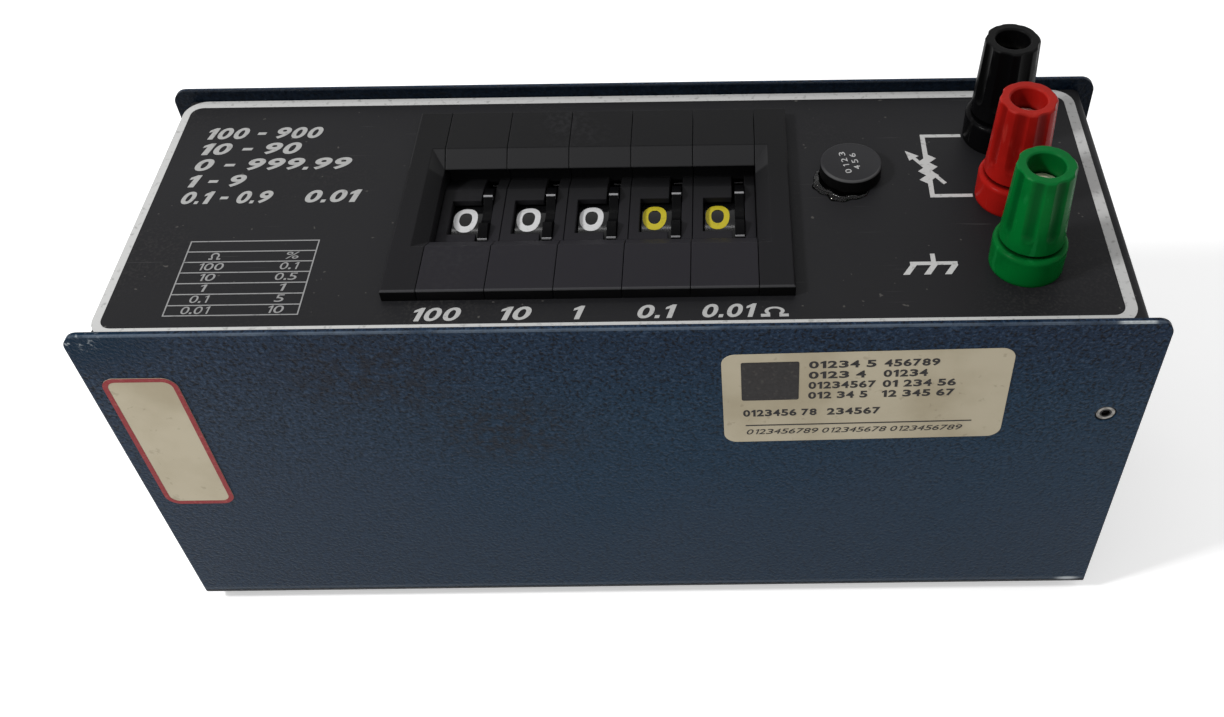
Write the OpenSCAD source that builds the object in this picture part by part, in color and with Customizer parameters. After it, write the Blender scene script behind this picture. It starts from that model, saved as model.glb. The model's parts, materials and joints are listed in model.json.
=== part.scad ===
// Decade resistance box: five thumbwheel decades and three binding posts on a black panel,
// in a blue U-shaped sheet metal case. Millimetres, +X along the panel, -Y front, +Z up.
// The origin is on the surface that the box stands on, under the middle of the case.

/* [Case] */
// Length of the blue case along X
wrap_w = 200; // [180:1:260]
// Depth of the blue case along Y
wrap_d = 73.4; // [70:0.2:100]
// Height of the blue case without its feet
wrap_h = 87.2; // [82:0.2:120]
// Thickness of the blue sheet
sheet_t = 1.2; // [0.8:0.1:2]
// Inside radius of the two long bends of the blue sheet
bend_r = 1.2; // [0.5:0.1:4]
// Radius of the upper corners of the front and rear walls
wall_corner_r = 3; // [1:0.5:8]
// Distance from the upper edge of the walls down to the panel
lip_h = 2.5; // [1:0.1:6]
// Distance from the ends of the blue case in to the black ends
end_inset = 3; // [1:0.5:8]
// Gap between the black chassis and the blue sheet
case_gap = 0.15; // [0.05:0.05:0.3]

/* [Chassis] */
// Thickness of the black panel and its ends
panel_t = 1.2; // [0.8:0.1:2]
// Outside radius of the bend between the panel and its ends
panel_bend_r = 1.8; // [1.3:0.1:4]
// Width of the flanges turned in from the ends for the case screws
flange_w = 11; // [9:0.5:20]

/* [Case screws] */
// Distance from the end of the case to a screw
screw_inset = 7.4; // [7:0.1:9]
// Height of a screw above the bottom of the case
screw_rise = 61.6; // [20:0.1:74]
// Diameter of the screw thread
screw_d = 2.5; // [2:0.5:3]
// Diameter of the countersunk screw head
screw_head_d = 4.1; // [3.6:0.1:4.6]
// Depth of the screw head below the face of the case
screw_sink = 0.2; // [0:0.05:0.3]
// Length of the screw below its head
screw_len = 6; // [5:0.5:10]
// Width across the flats of the hexagon socket
screw_socket = 1.6; // [1.2:0.1:2]
// Diameter of the clinch nut on the flange
clinch_d = 5.2; // [4.5:0.1:5.6]
// Height of the clinch nut on the flange
clinch_h = 2; // [1.5:0.1:3]

/* [Feet] */
// Height of a rubber foot
foot_h = 3; // [2:0.5:8]
// Diameter of a rubber foot where it meets the case
foot_d = 12.7; // [8:0.1:16]
// Diameter of a rubber foot where it meets the table
foot_tip_d = 10.5; // [6:0.1:14]
// Distance from the edges of the case to the middle of a foot
foot_inset = 14; // [10:0.5:25]

/* [Thumbwheel bank] */
// Middle of the bank along X
bank_x = -5.9; // [-20:0.1:5]
// Middle of the bank along Y
bank_y = 0.4; // [-3:0.1:3]
// Height of the bezel above the panel
bezel_h = 2.5; // [1.5:0.1:4]
// Overlap of the bezel on the panel along Y
bezel_overlap = 3; // [2:0.1:5]
// Chamfer of the outer edges of the bezel
bezel_edge = 0.3; // [0.1:0.05:0.6]
// Width of the flat top of each long rail
rail_w = 12; // [10:0.1:14]
// Width of the sloped inner edge of each long rail
slope_w = 3.9; // [2:0.1:4.5]
// Width of the sloped inner edge of each end cheek
end_slope_w = 2.6; // [1:0.1:3.5]
// Height of the sloped inner edges
slope_h = 2.5; // [2:0.1:3.5]
// Depth of the undercut behind the sloped edge of a rail
undercut = 2.4; // [1:0.1:3]
// Depth of the window floor below the top of the bezel
floor_depth = 5.2; // [4.6:0.1:7]
// Half of the flat part of the window floor along Y
floor_half = 7.8; // [6:0.1:9]
// Drop of the floor from its flat part to the undercut
floor_drop = 2; // [1:0.1:3]
// Width of the top of each end cheek
cheek_w = 6.6; // [6.4:0.1:12]
// Thickness of an end cheek below the panel
cheek_t = 1.8; // [1.5:0.1:2]

/* [Decade module] */
// Thickness of the left wall of a module
side_wall = 2; // [1.6:0.1:3]
// Width of the digit window
window_w = 5.8; // [4:0.1:8]
// Height of the digit window along Y
window_h = 10; // [7:0.1:12]
// Shift of the digit window towards the front
window_shift = 0.8; // [0:0.1:1.5]
// Width of the slot for the finger rim
rim_slot_w = 2.6; // [2:0.1:4]
// Room for the contact springs between the rim and the board
contact_gap = 0.65; // [0.5:0.05:1.5]
// Thickness of the contact board
board_t = 1.5; // [1:0.1:2]
// Seam between one module and the next
seam = 0.15; // [0.05:0.05:0.2]
// Front and rear walls of a module beside the wheel
body_wall = 4.2; // [3.4:0.1:6]
// Wall under the detent pocket of a module
body_floor = 2.4; // [1.5:0.1:4]
// Depth of the upper part of a module that covers the board
cover_depth = 9; // [8:0.1:10]
// Clearance of the board above the bottom of the case
board_clear = 8; // [6:0.5:14]
// Margin of the board inside the module along Y
board_margin = 1.5; // [0.5:0.1:2]

/* [Wheel] */
// Number of positions of a wheel
positions = 10; // [10]
// Radius of the finger rim over its tips
rim_r = 19; // [18:0.1:20]
// Depth of the scallops of the finger rim
scallop_depth = 2.5; // [1.5:0.1:2.8]
// Half angle of the land on each tip of the finger rim
land_angle = 5.5; // [1:0.5:7]
// Height of the rim tips above the window floor
rim_proud = 1; // [0.5:0.1:2]
// Radius of the digit drum
drum_r = 15.8; // [14.5:0.1:16.2]
// Wall of the digit drum
drum_wall = 1.6; // [1:0.1:3]
// Web of the wheel beside the rim
web_t = 1.5; // [1:0.1:2.5]
// Radius of the wheel hub
hub_r = 4.5; // [4:0.1:7]
// Diameter of the left journal of a wheel
journal_d = 4; // [3:0.1:5]
// Diameter of the right journal of a wheel, in its board
board_journal_d = 6; // [5:0.1:7]
// Running clearance of a wheel beside its walls
run_gap = 0.3; // [0.2:0.05:0.5]
// Radial clearance of a journal
bearing_gap = 0.05; // [0.03:0.01:0.1]
// Gap between the rim and its cavity
rim_gap = 0.5; // [0.3:0.1:1]
// Gap between the digit window and the left face of the rim
rim_offset = 0.6; // [0.2:0.1:0.8]

/* [Wiper] */
// Thickness of the contact spring sheet
wiper_t = 0.25; // [0.2:0.05:0.3]
// Outer radius of the contact spring ring
wiper_ring_r = 6.5; // [5.5:0.1:8]
// Radius of the contact tips
wiper_reach = 12.5; // [10:0.1:14]
// Width of a contact arm
wiper_arm_w = 1.8; // [1:0.1:3]
// Gap from a contact tip to the board at rest
contact_lift = 0.08; // [0.05:0.01:0.12]

/* [Detent spring] */
// Thickness of the detent leaf
leaf_t = 0.4; // [0.3:0.05:0.6]
// Half length of the detent leaf
leaf_half = 10; // [8:0.1:12]
// Radius of the nose that sits in a scallop
nose_r = 1.4; // [1:0.1:2]
// Half width of the raised part of the leaf
leaf_rise_half = 5.5; // [4:0.1:7]
// Gap between the nose and the scallop at rest
nose_gap = 0.15; // [0.1:0.05:0.3]
// Depth of the detent pocket below the rim cavity
pocket_depth = 1.3; // [1:0.1:3]

/* [Bank fixings] */
// Diameter of a tie rod
rod_d = 2.5; // [2:0.1:3]
// Distance of a tie rod in from the module sides
rod_inset = 3.6; // [3.4:0.1:4]
// Depth of the upper tie rods below the bezel
rod_depth = 12; // [11.5:0.1:13]
// Diameter of a cheek stud
cheek_stud_d = 2; // [1.6:0.1:2.4]
// Distance of a cheek stud from the middle along Y
cheek_stud_y = 12; // [6:0.5:16]
// Width across the flats of the nuts on the cheek studs
small_nut_af = 4; // [3.5:0.1:4.2]
// Height of the nuts on the cheek studs
small_nut_h = 1.6; // [1.2:0.1:2.4]
// Width across the flats of the tie rod nuts
rod_nut_af = 5; // [4.5:0.1:6]
// Height of the tie rod nuts
rod_nut_h = 2; // [1.5:0.1:3]

/* [Resistors] */
// Number of resistors in a decade
resistor_count = 9; // [9]
// Spacing of the resistors along Y
resistor_pitch = 4.2; // [4:0.1:4.4]
// Diameter of a resistor body
resistor_d = 3.2; // [2:0.1:3.6]
// Length of a resistor body
resistor_len = 9.5; // [6:0.1:12]
// Diameter of a resistor lead
lead_d = 0.7; // [0.5:0.05:0.9]
// Distance of a resistor axis from its board
resistor_lift = 2.3; // [2:0.1:3]
// Distance from the edge of the free board to the leads
lead_margin = 6; // [5:0.1:7]
// Diameter of the resistance wire of the two lowest decades
loop_wire_d = 1.3; // [1:0.1:1.6]
// Height of the resistance wire loops over their board
loop_lift = 5; // [3:0.1:7]

/* [Binding posts] */
// Distance of the posts from the end of the case along X
post_inset = 23.6; // [20:0.1:30]
// Place of the rear post along Y
post_rear_y = 20; // [18:0.1:24]
// Distance from one post to the next
post_pitch = 19.05; // [17:0.05:20]
// Diameter of the fixed collar
collar_d = 14; // [13:0.1:16]
// Height of the fixed collar
collar_h = 6.2; // [4:0.1:8]
// Rounding of the upper edge of the collar
collar_round = 0.9; // [0.4:0.1:1.5]
// Diameter of the collar's spigot in the panel
spigot_d = 7; // [6.4:0.1:8]
// Gap between the cap and the collar when screwed down
cap_gap = 0.8; // [0.3:0.1:1.5]
// Diameter of the cap at its lower end
cap_d = 12.2; // [11.4:0.1:13]
// Diameter of the cap at its upper end
cap_top_d = 10.8; // [10.6:0.1:12]
// Height of the cap
cap_h = 16.7; // [15:0.1:20]
// Diameter of the hole in the top of the cap
cap_bore_d = 6.8; // [6.4:0.1:7.4]
// Number of flutes of the cap
flutes = 8; // [6:1:10]
// Radius of a flute
flute_r = 4; // [2.5:0.1:6]
// Depth of a flute
flute_depth = 0.6; // [0.4:0.05:0.8]
// Height of the plain skirt under the flutes
skirt_h = 2.5; // [1.5:0.1:4]
// Chamfer of the upper edges of the cap
cap_edge = 0.3; // [0.1:0.05:0.5]
// Diameter of the threaded insert in the cap
insert_d = 8.6; // [8.2:0.1:9]
// Height of the threaded insert
insert_h = 5; // [3:0.1:6]
// Height of the insert above the bottom of the cap
insert_rise = 2; // [1.5:0.1:4]

/* [Studs] */
// Diameter of the threaded upper part of a stud
stud_d = 6; // [5.6:0.1:6.2]
// Distance from the top of the cap down to the top of the stud
stud_recess = 4.5; // [3:0.1:6]
// Diameter of the plug socket in a stud
socket_d = 4; // [4]
// Depth of the plug socket in a stud
socket_depth = 9; // [6:0.5:9.5]
// Diameter of the cross hole for a bare wire
cross_hole_d = 2; // [1.5:0.1:2.4]
// Height of the cross hole above the collar
cross_hole_rise = 1.8; // [1.6:0.1:2.4]
// Diameter of the lower threaded part of a stud
tail_d = 4; // [3:0.1:5]
// Clearance of a thread or of a hole on a stud
thread_gap = 0.05; // [0.03:0.01:0.1]
// Diameter of the insulating bush under the panel
bush_d = 12; // [10:0.1:14]
// Height of the insulating bush under the panel
bush_h = 2; // [1.5:0.1:4]
// Width across the flats of a stud nut
stud_nut_af = 7; // [6:0.1:8]
// Height of a stud nut
stud_nut_h = 3; // [2:0.1:4]
// Thickness of a solder tag
tag_t = 0.5; // [0.4:0.05:1]
// Width of the tongue of a solder tag
tag_tongue_w = 3; // [2:0.1:4]
// Reach of the tongue of a solder tag from the stud
tag_reach = 10; // [7:0.1:12]

/* [Wires] */
// Diameter of the insulated wires from the posts
wire_d = 1.8; // [1:0.1:2.2]
// Diameter of the bare links between the boards
link_d = 1; // [0.6:0.1:1.2]

/* [Disc tag] */
// Diameter of the disc glued on the panel
disc_d = 12.4; // [8:0.1:16]
// Thickness of the disc
disc_t = 3; // [1:0.1:4]
// Rounding of the upper edge of the disc
disc_round = 0.4; // [0.2:0.1:0.8]
// Place of the disc along X
disc_x = 45.1; // [42:0.1:60]
// Place of the disc along Y
disc_y = 8.4; // [-10:0.1:20]

/* [Hidden] */
DECADES = ["100", "10", "1", "0_1", "0_01"];
POSTS = ["black", "red", "green"];
POST_COLOURS = [[0.05, 0.05, 0.05], [0.6, 0.05, 0.05], [0.02, 0.4, 0.13]];
WIRE_DECADES = 3;
INSULATED_POSTS = 2;
moulding = [0.14, 0.14, 0.15];
case_blue = [0.1, 0.17, 0.27];
panel_black = [0.12, 0.12, 0.13];
brass = [0.75, 0.62, 0.32];
steel = [0.7, 0.7, 0.72];
rubber = [0.08, 0.08, 0.08];
board_green = [0.16, 0.33, 0.2];
resistor_tan = [0.6, 0.5, 0.36];
resistance_wire = [0.6, 0.45, 0.35];
tinned = [0.75, 0.75, 0.75];
e = 0.5;
$fn = 64;

// Heights
z_case = foot_h;
z_base = z_case + sheet_t;
z_wall_top = z_case + wrap_h;
z_panel = z_wall_top - lip_h;
z_under = z_panel - panel_t;
z_bezel = z_panel + bezel_h;

// Case and chassis
wall_in = wrap_d / 2 - sheet_t;
chassis_half_w = wrap_w / 2 - end_inset;
chassis_half_d = wall_in - case_gap;
chassis_bottom = z_base + case_gap;
flange_in = chassis_half_d - panel_t;
screw_x = wrap_w / 2 - screw_inset;
screw_z = z_case + screw_rise;
screw_cone = min((screw_head_d - screw_d) / 2, sheet_t - screw_sink);
screw_gap = 0.06;
socket_rise = 0.8;
clinch_gap = 0.03;

// One module from its left wall to the seam
window_x = side_wall;
slot_x = window_x + window_w;
slot_end = slot_x + rim_slot_w;
board_x = slot_end + contact_gap;
module_w = board_x + board_t;
module_pitch = module_w + seam;
module_count = len(DECADES);
bank_w = module_count * module_pitch;
bank_left = bank_x - bank_w / 2;
bank_right = bank_left + bank_w - seam;

// Module heights below the top of the bezel, with the valley of a scallop at the digit
axis_depth = floor_depth - rim_proud + rim_r * cos(180 / positions);
cavity_r = rim_r + rim_gap;
pocket_z = axis_depth + cavity_r + pocket_depth;
module_depth = pocket_z + body_floor;
body_half = cavity_r + body_wall;
bezel_half = body_half + bezel_overlap;
recess_half = bezel_half - rail_w;
slope_half = recess_half - slope_w;
groove_half = slope_half + undercut;
undercut_rise = 0.4;
floor_edge = floor_depth + floor_drop;
journal_floor = 0.7;
board_half = body_half - board_margin;
board_top = cover_depth + run_gap / 2;
board_bottom = z_bezel - z_base - board_clear;
rod_y = body_half - rod_inset;
rod_low = module_depth - rod_inset;
cheek_stud_x = cheek_t + (cheek_w - cheek_t) / 2;
cut_gap = 0.3;

// Wheel
rim_x = slot_x + rim_offset;
rim_w = rim_slot_w - rim_offset - run_gap / 2;
rim_end = rim_x + rim_w;
drum_x = window_x + run_gap;
valley_r = rim_r - scallop_depth;
land_point = rim_r * cos(180 / positions - land_angle);
scallop_centre = (rim_r * rim_r - valley_r * valley_r) / (2 * (land_point - valley_r));
scallop_r = scallop_centre - valley_r;
drum_cavity_r = drum_r + rim_gap;
contact_cavity_r = wiper_reach + wiper_arm_w + rim_gap;

// Free part of a board under its module, where the resistors are
free_top = z_bezel - module_depth;
free_bottom = z_bezel - board_bottom;
resistor_z = (free_top + free_bottom) / 2;
lead_half = (free_top - free_bottom) / 2 - lead_margin;
leg_share = 0.9;
link_y = bank_y - board_half + 2;
link_z = free_bottom + 3;

// Posts, measured up from the panel
post_x = wrap_w / 2 - post_inset;
cap_z = collar_h + cap_gap;
cap_top = cap_z + cap_h;
stud_top = cap_top - stud_recess;
cap_taper = atan((cap_d - cap_top_d) / 2 / cap_h);
flute_start = skirt_h + sqrt(2 * flute_r * flute_depth - flute_depth * flute_depth);
insert_z = cap_z + insert_rise;
panel_hole_d = spigot_d + 2 * thread_gap;
tail_gap = thread_gap;
tag_ring_d = stud_nut_af + 1;
insulated_tail = panel_t + bush_h + 2 * stud_nut_h + tag_t + 1;
case_tail = panel_t + stud_nut_h + 1;
wire_drop = panel_t + bush_h + stud_nut_h + tag_t;

// Places
function module_left(i) = bank_left + i * module_pitch;
function post_y(i) = post_rear_y - i * post_pitch;
function resistor_y(k) = bank_y + (k - (resistor_count - 1) / 2) * resistor_pitch;

module at_module(i) translate([module_left(i), bank_y, z_bezel]) children();
module at_axle(i) at_module(i) translate([0, 0, -axis_depth]) rotate([0, 90, 0]) children();
module at_post(i) translate([post_x, post_y(i), z_panel]) children();

// An outline in Y and Z, drawn out along X
module along_x(length) rotate([90, 0, 90]) linear_extrude(length) children();

// An outline in X and Z, drawn out to both sides along Y
module along_y(length) rotate([90, 0, 0]) linear_extrude(length, center = true) children();

// A cylinder along X from the origin
module rod_x(length, d) rotate([0, 90, 0]) cylinder(h = length, d = d);

module hexagon_nut(af, h, bore_d) difference() {
    cylinder(h = h, d = af / cos(30), $fn = 6);
    translate([0, 0, -e]) cylinder(h = h + 2 * e, d = bore_d);
}

// A flat-footed arch with two rounded upper corners
module arch(w, h, r) {
    translate([-w / 2, 0]) square([w, h - r]);
    translate([-w / 2 + r, 0]) square([w - 2 * r, h]);
    for (s = [-1, 1]) translate([s * (w / 2 - r), h - r]) circle(r);
}

// A solid of revolution with its upper edge rounded
module round_top(d, h, r) rotate_extrude() {
    square([d / 2, h - r]);
    square([d / 2 - r, h]);
    translate([d / 2 - r, h - r]) circle(r, $fn = 32);
}

module case_screw_places() for (sx = [-1, 1], sy = [-1, 1])
    translate([sx * screw_x, sy * wrap_d / 2, screw_z]) rotate([-90 * sy, 0, 0]) children();

// Blue case: front wall, base and rear wall bent from one sheet

module case_section() difference() {
    translate([0, wrap_h]) mirror([0, 1]) arch(wrap_d, wrap_h, bend_r + sheet_t);
    translate([0, wrap_h + e]) mirror([0, 1]) arch(2 * wall_in, wrap_h - sheet_t + e, bend_r);
}

module wall_corner() difference() {
    translate([0, 0, wall_corner_r / 2 + e / 2])
        cube([wall_corner_r + e, wrap_d + e, wall_corner_r + e], center = true);
    translate([-(wall_corner_r + e) / 2, 0, 0]) rotate([90, 0, 0])
        cylinder(h = wrap_d + 2 * e, r = wall_corner_r, center = true);
}

module case_wrap() color(case_blue) difference() {
    translate([-wrap_w / 2, 0, z_case]) along_x(wrap_w) case_section();
    for (s = [0, 1]) mirror([s, 0, 0])
        translate([wrap_w / 2 - (wall_corner_r - e) / 2, 0, z_wall_top - wall_corner_r]) wall_corner();
    case_screw_places() countersink();
}

// Hole for a countersunk head, from the face of the case inwards
module countersink() {
    translate([0, 0, -2 * sheet_t]) cylinder(h = 4 * sheet_t, d = screw_d + 2 * screw_gap);
    translate([0, 0, -screw_cone - screw_sink])
        cylinder(h = screw_cone, d1 = screw_d + 2 * screw_gap, d2 = screw_head_d + 2 * screw_gap);
    translate([0, 0, -screw_sink]) cylinder(h = screw_sink + e, d = screw_head_d + 2 * screw_gap);
}

// Black chassis: panel, two ends and the flanges that take the case screws

module chassis_section() difference() {
    arch(2 * chassis_half_w, z_panel - chassis_bottom, panel_bend_r);
    translate([0, -e])
        arch(2 * (chassis_half_w - panel_t), z_under - chassis_bottom + e, panel_bend_r - panel_t);
}

module end_flanges() for (sx = [0, 1], sy = [0, 1]) mirror([sx, 0, 0]) mirror([0, sy, 0])
    translate([chassis_half_w - flange_w, flange_in, chassis_bottom])
        cube([flange_w - panel_t / 2, panel_t, z_under - chassis_bottom - panel_t]);

module panel_chassis() color(panel_black) difference() {
    union() {
        translate([0, 0, chassis_bottom]) along_y(2 * chassis_half_d) chassis_section();
        end_flanges();
    }
    translate([bank_left - seam - cheek_t - cut_gap, bank_y - body_half - cut_gap, z_under - e])
        cube([bank_w - seam + 2 * (cheek_t + seam + cut_gap), 2 * (body_half + cut_gap), panel_t + 2 * e]);
    cheek_stud_places() translate([0, 0, -bezel_h - panel_t - e])
        cylinder(h = panel_t + 2 * e, d = cheek_stud_d + cut_gap);
    for (i = [0 : len(POSTS) - 1]) at_post(i) translate([0, 0, -panel_t - e])
        cylinder(h = panel_t + 2 * e, d = panel_hole_d);
    case_screw_places() translate([0, 0, -sheet_t - case_gap - panel_t - e])
        cylinder(h = panel_t + 2 * e, d = clinch_shank_d() + 2 * clinch_gap);
}

// Fastening of the case: flush hexagon socket screws into clinch nuts on the flanges

function clinch_shank_d() = clinch_d - 1.2;

module case_screws() color(steel) case_screw_places() difference() {
    union() {
        translate([0, 0, -screw_cone - screw_sink])
            cylinder(h = screw_cone, d1 = screw_d, d2 = screw_head_d);
        translate([0, 0, -screw_len]) cylinder(h = screw_len - screw_sink - screw_cone / 2, d = screw_d);
    }
    translate([0, 0, -screw_sink - socket_rise])
        cylinder(h = socket_rise + e, d = screw_socket / cos(30), $fn = 6);
}

module case_nuts() color(steel) case_screw_places()
    translate([0, 0, -sheet_t - case_gap - panel_t - clinch_h]) difference() {
        union() {
            cylinder(h = clinch_h, d = clinch_d);
            cylinder(h = clinch_h + panel_t, d = clinch_shank_d());
        }
        translate([0, 0, -e]) cylinder(h = clinch_h + panel_t + 2 * e, d = screw_d + 2 * clinch_gap);
    }

module rubber_feet() color(rubber) for (sx = [-1, 1], sy = [-1, 1])
    translate([sx * (wrap_w / 2 - foot_inset), sy * (wrap_d / 2 - foot_inset), 0])
        cylinder(h = foot_h, d1 = foot_tip_d, d2 = foot_d);

// Thumbwheel module: a moulded body whose upper part is one fifth of the bezel

bezel_outline = [
    [-bezel_half, -bezel_h], [-bezel_half, -bezel_edge], [bezel_edge - bezel_half, 0], [-recess_half, 0],
    [-slope_half, -slope_h], [-groove_half, -slope_h - undercut_rise], [-groove_half, -floor_edge],
    [-floor_half, -floor_depth], [floor_half, -floor_depth],
    [groove_half, -floor_edge], [groove_half, -slope_h - undercut_rise], [slope_half, -slope_h],
    [recess_half, 0], [bezel_half - bezel_edge, 0], [bezel_half, -bezel_edge], [bezel_half, -bezel_h]
];

module body_outline(depth) polygon(concat(
    bezel_outline,
    [[body_half, -bezel_h], [body_half, -depth], [-body_half, -depth], [-body_half, -bezel_h]]
));

module rod_places() for (sy = [-1, 1], z = [rod_depth, rod_low]) translate([0, sy * rod_y, -z]) children();

module housing(i) color(moulding) difference() {
    at_module(i) union() {
        along_x(board_x) body_outline(module_depth);
        along_x(module_w) body_outline(cover_depth);
    }
    at_axle(i) {
        translate([0, 0, journal_floor]) cylinder(h = side_wall, d = journal_d + 2 * bearing_gap);
        translate([0, 0, window_x]) cylinder(h = window_w + e, r = drum_cavity_r);
        translate([0, 0, slot_x]) cylinder(h = rim_slot_w, r = cavity_r);
        translate([0, 0, slot_end - e]) cylinder(h = contact_gap + 2 * e, r = contact_cavity_r);
    }
    at_module(i) {
        translate([window_x, -window_h / 2 - window_shift, -axis_depth])
            cube([window_w, window_h, axis_depth]);
        translate([slot_x, -groove_half, -floor_edge - 1])
            cube([rim_slot_w, 2 * groove_half, floor_edge + 1 - slope_h - undercut_rise]);
        translate([slot_x, -leaf_half - nose_gap, -pocket_z])
            cube([rim_slot_w, 2 * (leaf_half + nose_gap), pocket_z - axis_depth]);
        rod_places() translate([-e, 0, 0]) rod_x(module_w + 2 * e, rod_d + 2 * thread_gap);
    }
}

// Wheel: digit drum, scalloped finger rim, hub and two journals in one moulding

module wheel(i) color(moulding) at_axle(i) difference() {
    union() {
        translate([0, 0, drum_x]) cylinder(h = rim_x - drum_x + e, r = drum_r);
        translate([0, 0, rim_x]) cylinder(h = rim_w, r = rim_r);
        translate([0, 0, journal_floor + run_gap / 2]) cylinder(h = side_wall + e, d = journal_d);
        translate([0, 0, rim_end - e]) cylinder(h = module_w - rim_end + e, d = board_journal_d);
    }
    difference() {
        translate([0, 0, drum_x - e]) cylinder(h = rim_end - web_t - drum_x + e, r = drum_r - drum_wall);
        translate([0, 0, drum_x - 2 * e]) cylinder(h = rim_end - drum_x + e, r = hub_r);
    }
    translate([0, 0, drum_x - run_gap - e]) difference() {
        cylinder(h = run_gap + e, r = hub_r + e);
        translate([0, 0, -e]) cylinder(h = run_gap + 3 * e, d = journal_d);
    }
    for (k = [0 : positions - 1]) rotate(k * 360 / positions)
        translate([scallop_centre, 0, rim_x - e / 10]) cylinder(h = rim_w + e, r = scallop_r);
}

// Contact spring on the right face of a wheel, with three arms and raised tips

module wiper(i) color(brass) at_axle(i) translate([0, 0, rim_end]) difference() {
    union() {
        cylinder(h = wiper_t, r = wiper_ring_r);
        for (k = [0 : 2]) rotate(120 * k) {
            translate([0, -wiper_arm_w / 2, 0]) cube([wiper_reach, wiper_arm_w, wiper_t]);
            translate([wiper_reach, 0, 0]) cylinder(h = wiper_t, d = wiper_arm_w);
            translate([wiper_reach, 0, 0])
                cylinder(h = board_x - rim_end - contact_lift, d = wiper_arm_w / 2);
        }
    }
    translate([0, 0, -e]) cylinder(h = wiper_t + 2 * e, d = board_journal_d + 2 * bearing_gap);
}

// Contact board: closes the right side of its module and carries the resistors under it

module board(i) color(board_green) difference() {
    at_module(i) translate([board_x, -board_half, -board_bottom])
        cube([board_t, 2 * board_half, board_bottom - board_top]);
    at_axle(i) translate([0, 0, board_x - e])
        cylinder(h = board_t + 2 * e, d = board_journal_d + 2 * bearing_gap);
    at_module(i) rod_places() translate([board_x - e, 0, 0]) rod_x(board_t + 2 * e, rod_d + 2 * thread_gap);
}

// A wire beside a board, with two legs to the board's face
module bent_wire(lift, d) {
    translate([-lift, 0, -lead_half - d / 2]) cylinder(h = 2 * lead_half + d, d = d);
    for (s = [-1, 1]) translate([-lift, 0, s * lead_half]) rod_x(lift, leg_share * d);
}

module axial_resistor() {
    translate([-resistor_lift, 0, -resistor_len / 2]) cylinder(h = resistor_len, d = resistor_d);
    bent_wire(resistor_lift, lead_d);
}

module resistors(i) color(i < WIRE_DECADES ? resistor_tan : resistance_wire)
    for (k = [0 : resistor_count - 1])
        translate([module_left(i) + board_x, resistor_y(k), resistor_z])
            if (i < WIRE_DECADES) axial_resistor(); else bent_wire(loop_lift, loop_wire_d);

// Detent leaf: lies in its pocket, and its nose sits in the scallop under the axle

nose_z = -axis_depth - valley_r - nose_gap - nose_r;
leaf_outline = [
    [-leaf_half, -pocket_z], [-leaf_rise_half, -pocket_z], [-nose_r / 2, nose_z],
    [nose_r / 2, nose_z], [leaf_rise_half, -pocket_z], [leaf_half, -pocket_z],
    [leaf_half, -pocket_z + leaf_t], [leaf_rise_half + leaf_t / 2, -pocket_z + leaf_t],
    [nose_r, nose_z + leaf_t], [-nose_r, nose_z + leaf_t],
    [-leaf_rise_half - leaf_t / 2, -pocket_z + leaf_t], [-leaf_half, -pocket_z + leaf_t]
];

module detent_spring(i) color(steel) at_module(i) translate([rim_x, 0, 0]) along_x(rim_w) {
    polygon(leaf_outline);
    translate([0, nose_z]) circle(nose_r, $fn = 32);
}

// End cheeks: the ends of the bezel, with studs through the panel

module cheek_stud_places() for (sx = [0, 1], sy = [-1, 1])
    translate([
        sx == 0 ? bank_left - seam - cheek_stud_x : bank_right + seam + cheek_stud_x,
        bank_y + sy * cheek_stud_y,
        z_bezel
    ]) children();

module frame_recess() intersection() {
    translate([-cheek_w, 0, 0]) along_x(cheek_w + e) polygon([
        [-slope_half, -slope_h], [slope_half, -slope_h], [recess_half, 0],
        [recess_half, e], [-recess_half, e], [-recess_half, 0]
    ]);
    along_y(2 * bezel_half) polygon([
        [0, -slope_h], [e, -slope_h], [e, e], [-end_slope_w, e], [-end_slope_w, 0]
    ]);
}

module cheek_top() intersection() {
    translate([-cheek_w, 0, 0]) along_x(cheek_w) polygon([
        [-bezel_half, -bezel_h], [bezel_half, -bezel_h], [bezel_half, -bezel_edge],
        [bezel_half - bezel_edge, 0], [bezel_edge - bezel_half, 0], [-bezel_half, -bezel_edge]
    ]);
    along_y(2 * bezel_half + e) polygon([
        [-cheek_w, -bezel_h], [e, -bezel_h], [e, 0], [bezel_edge - cheek_w, 0], [-cheek_w, -bezel_edge]
    ]);
}

// A left cheek with its inner face at the origin
module cheek() {
    difference() {
        union() {
            cheek_top();
            translate([-cheek_t, -body_half, -module_depth]) cube([cheek_t, 2 * body_half, module_depth]);
        }
        frame_recess();
        rod_places() translate([-cheek_t - e, 0, 0]) rod_x(cheek_t + 2 * e, rod_d + 2 * thread_gap);
    }
    for (sy = [-1, 1]) translate([-cheek_stud_x, sy * cheek_stud_y, -bezel_h - panel_t - small_nut_h - 0.6])
        cylinder(h = panel_t + small_nut_h + 0.6 + bezel_h / 2, d = cheek_stud_d);
}

module left_end_cheek() color(moulding) translate([bank_left - seam, bank_y, z_bezel]) cheek();

module right_end_cheek() color(moulding)
    translate([bank_right + seam, bank_y, z_bezel]) mirror([1, 0, 0]) cheek();

module tie_rods() color(steel) translate([bank_left - seam - cheek_t - rod_nut_h, bank_y, z_bezel])
    rod_places() rod_x(bank_w + seam + 2 * (cheek_t + rod_nut_h), rod_d);

module tie_rod_nuts() color(steel)
    for (x = [bank_left - seam - cheek_t - rod_nut_h, bank_right + seam + cheek_t])
        translate([x, bank_y, z_bezel]) rod_places() rotate([0, 90, 0])
            hexagon_nut(rod_nut_af, rod_nut_h, rod_d + 2 * thread_gap);

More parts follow.
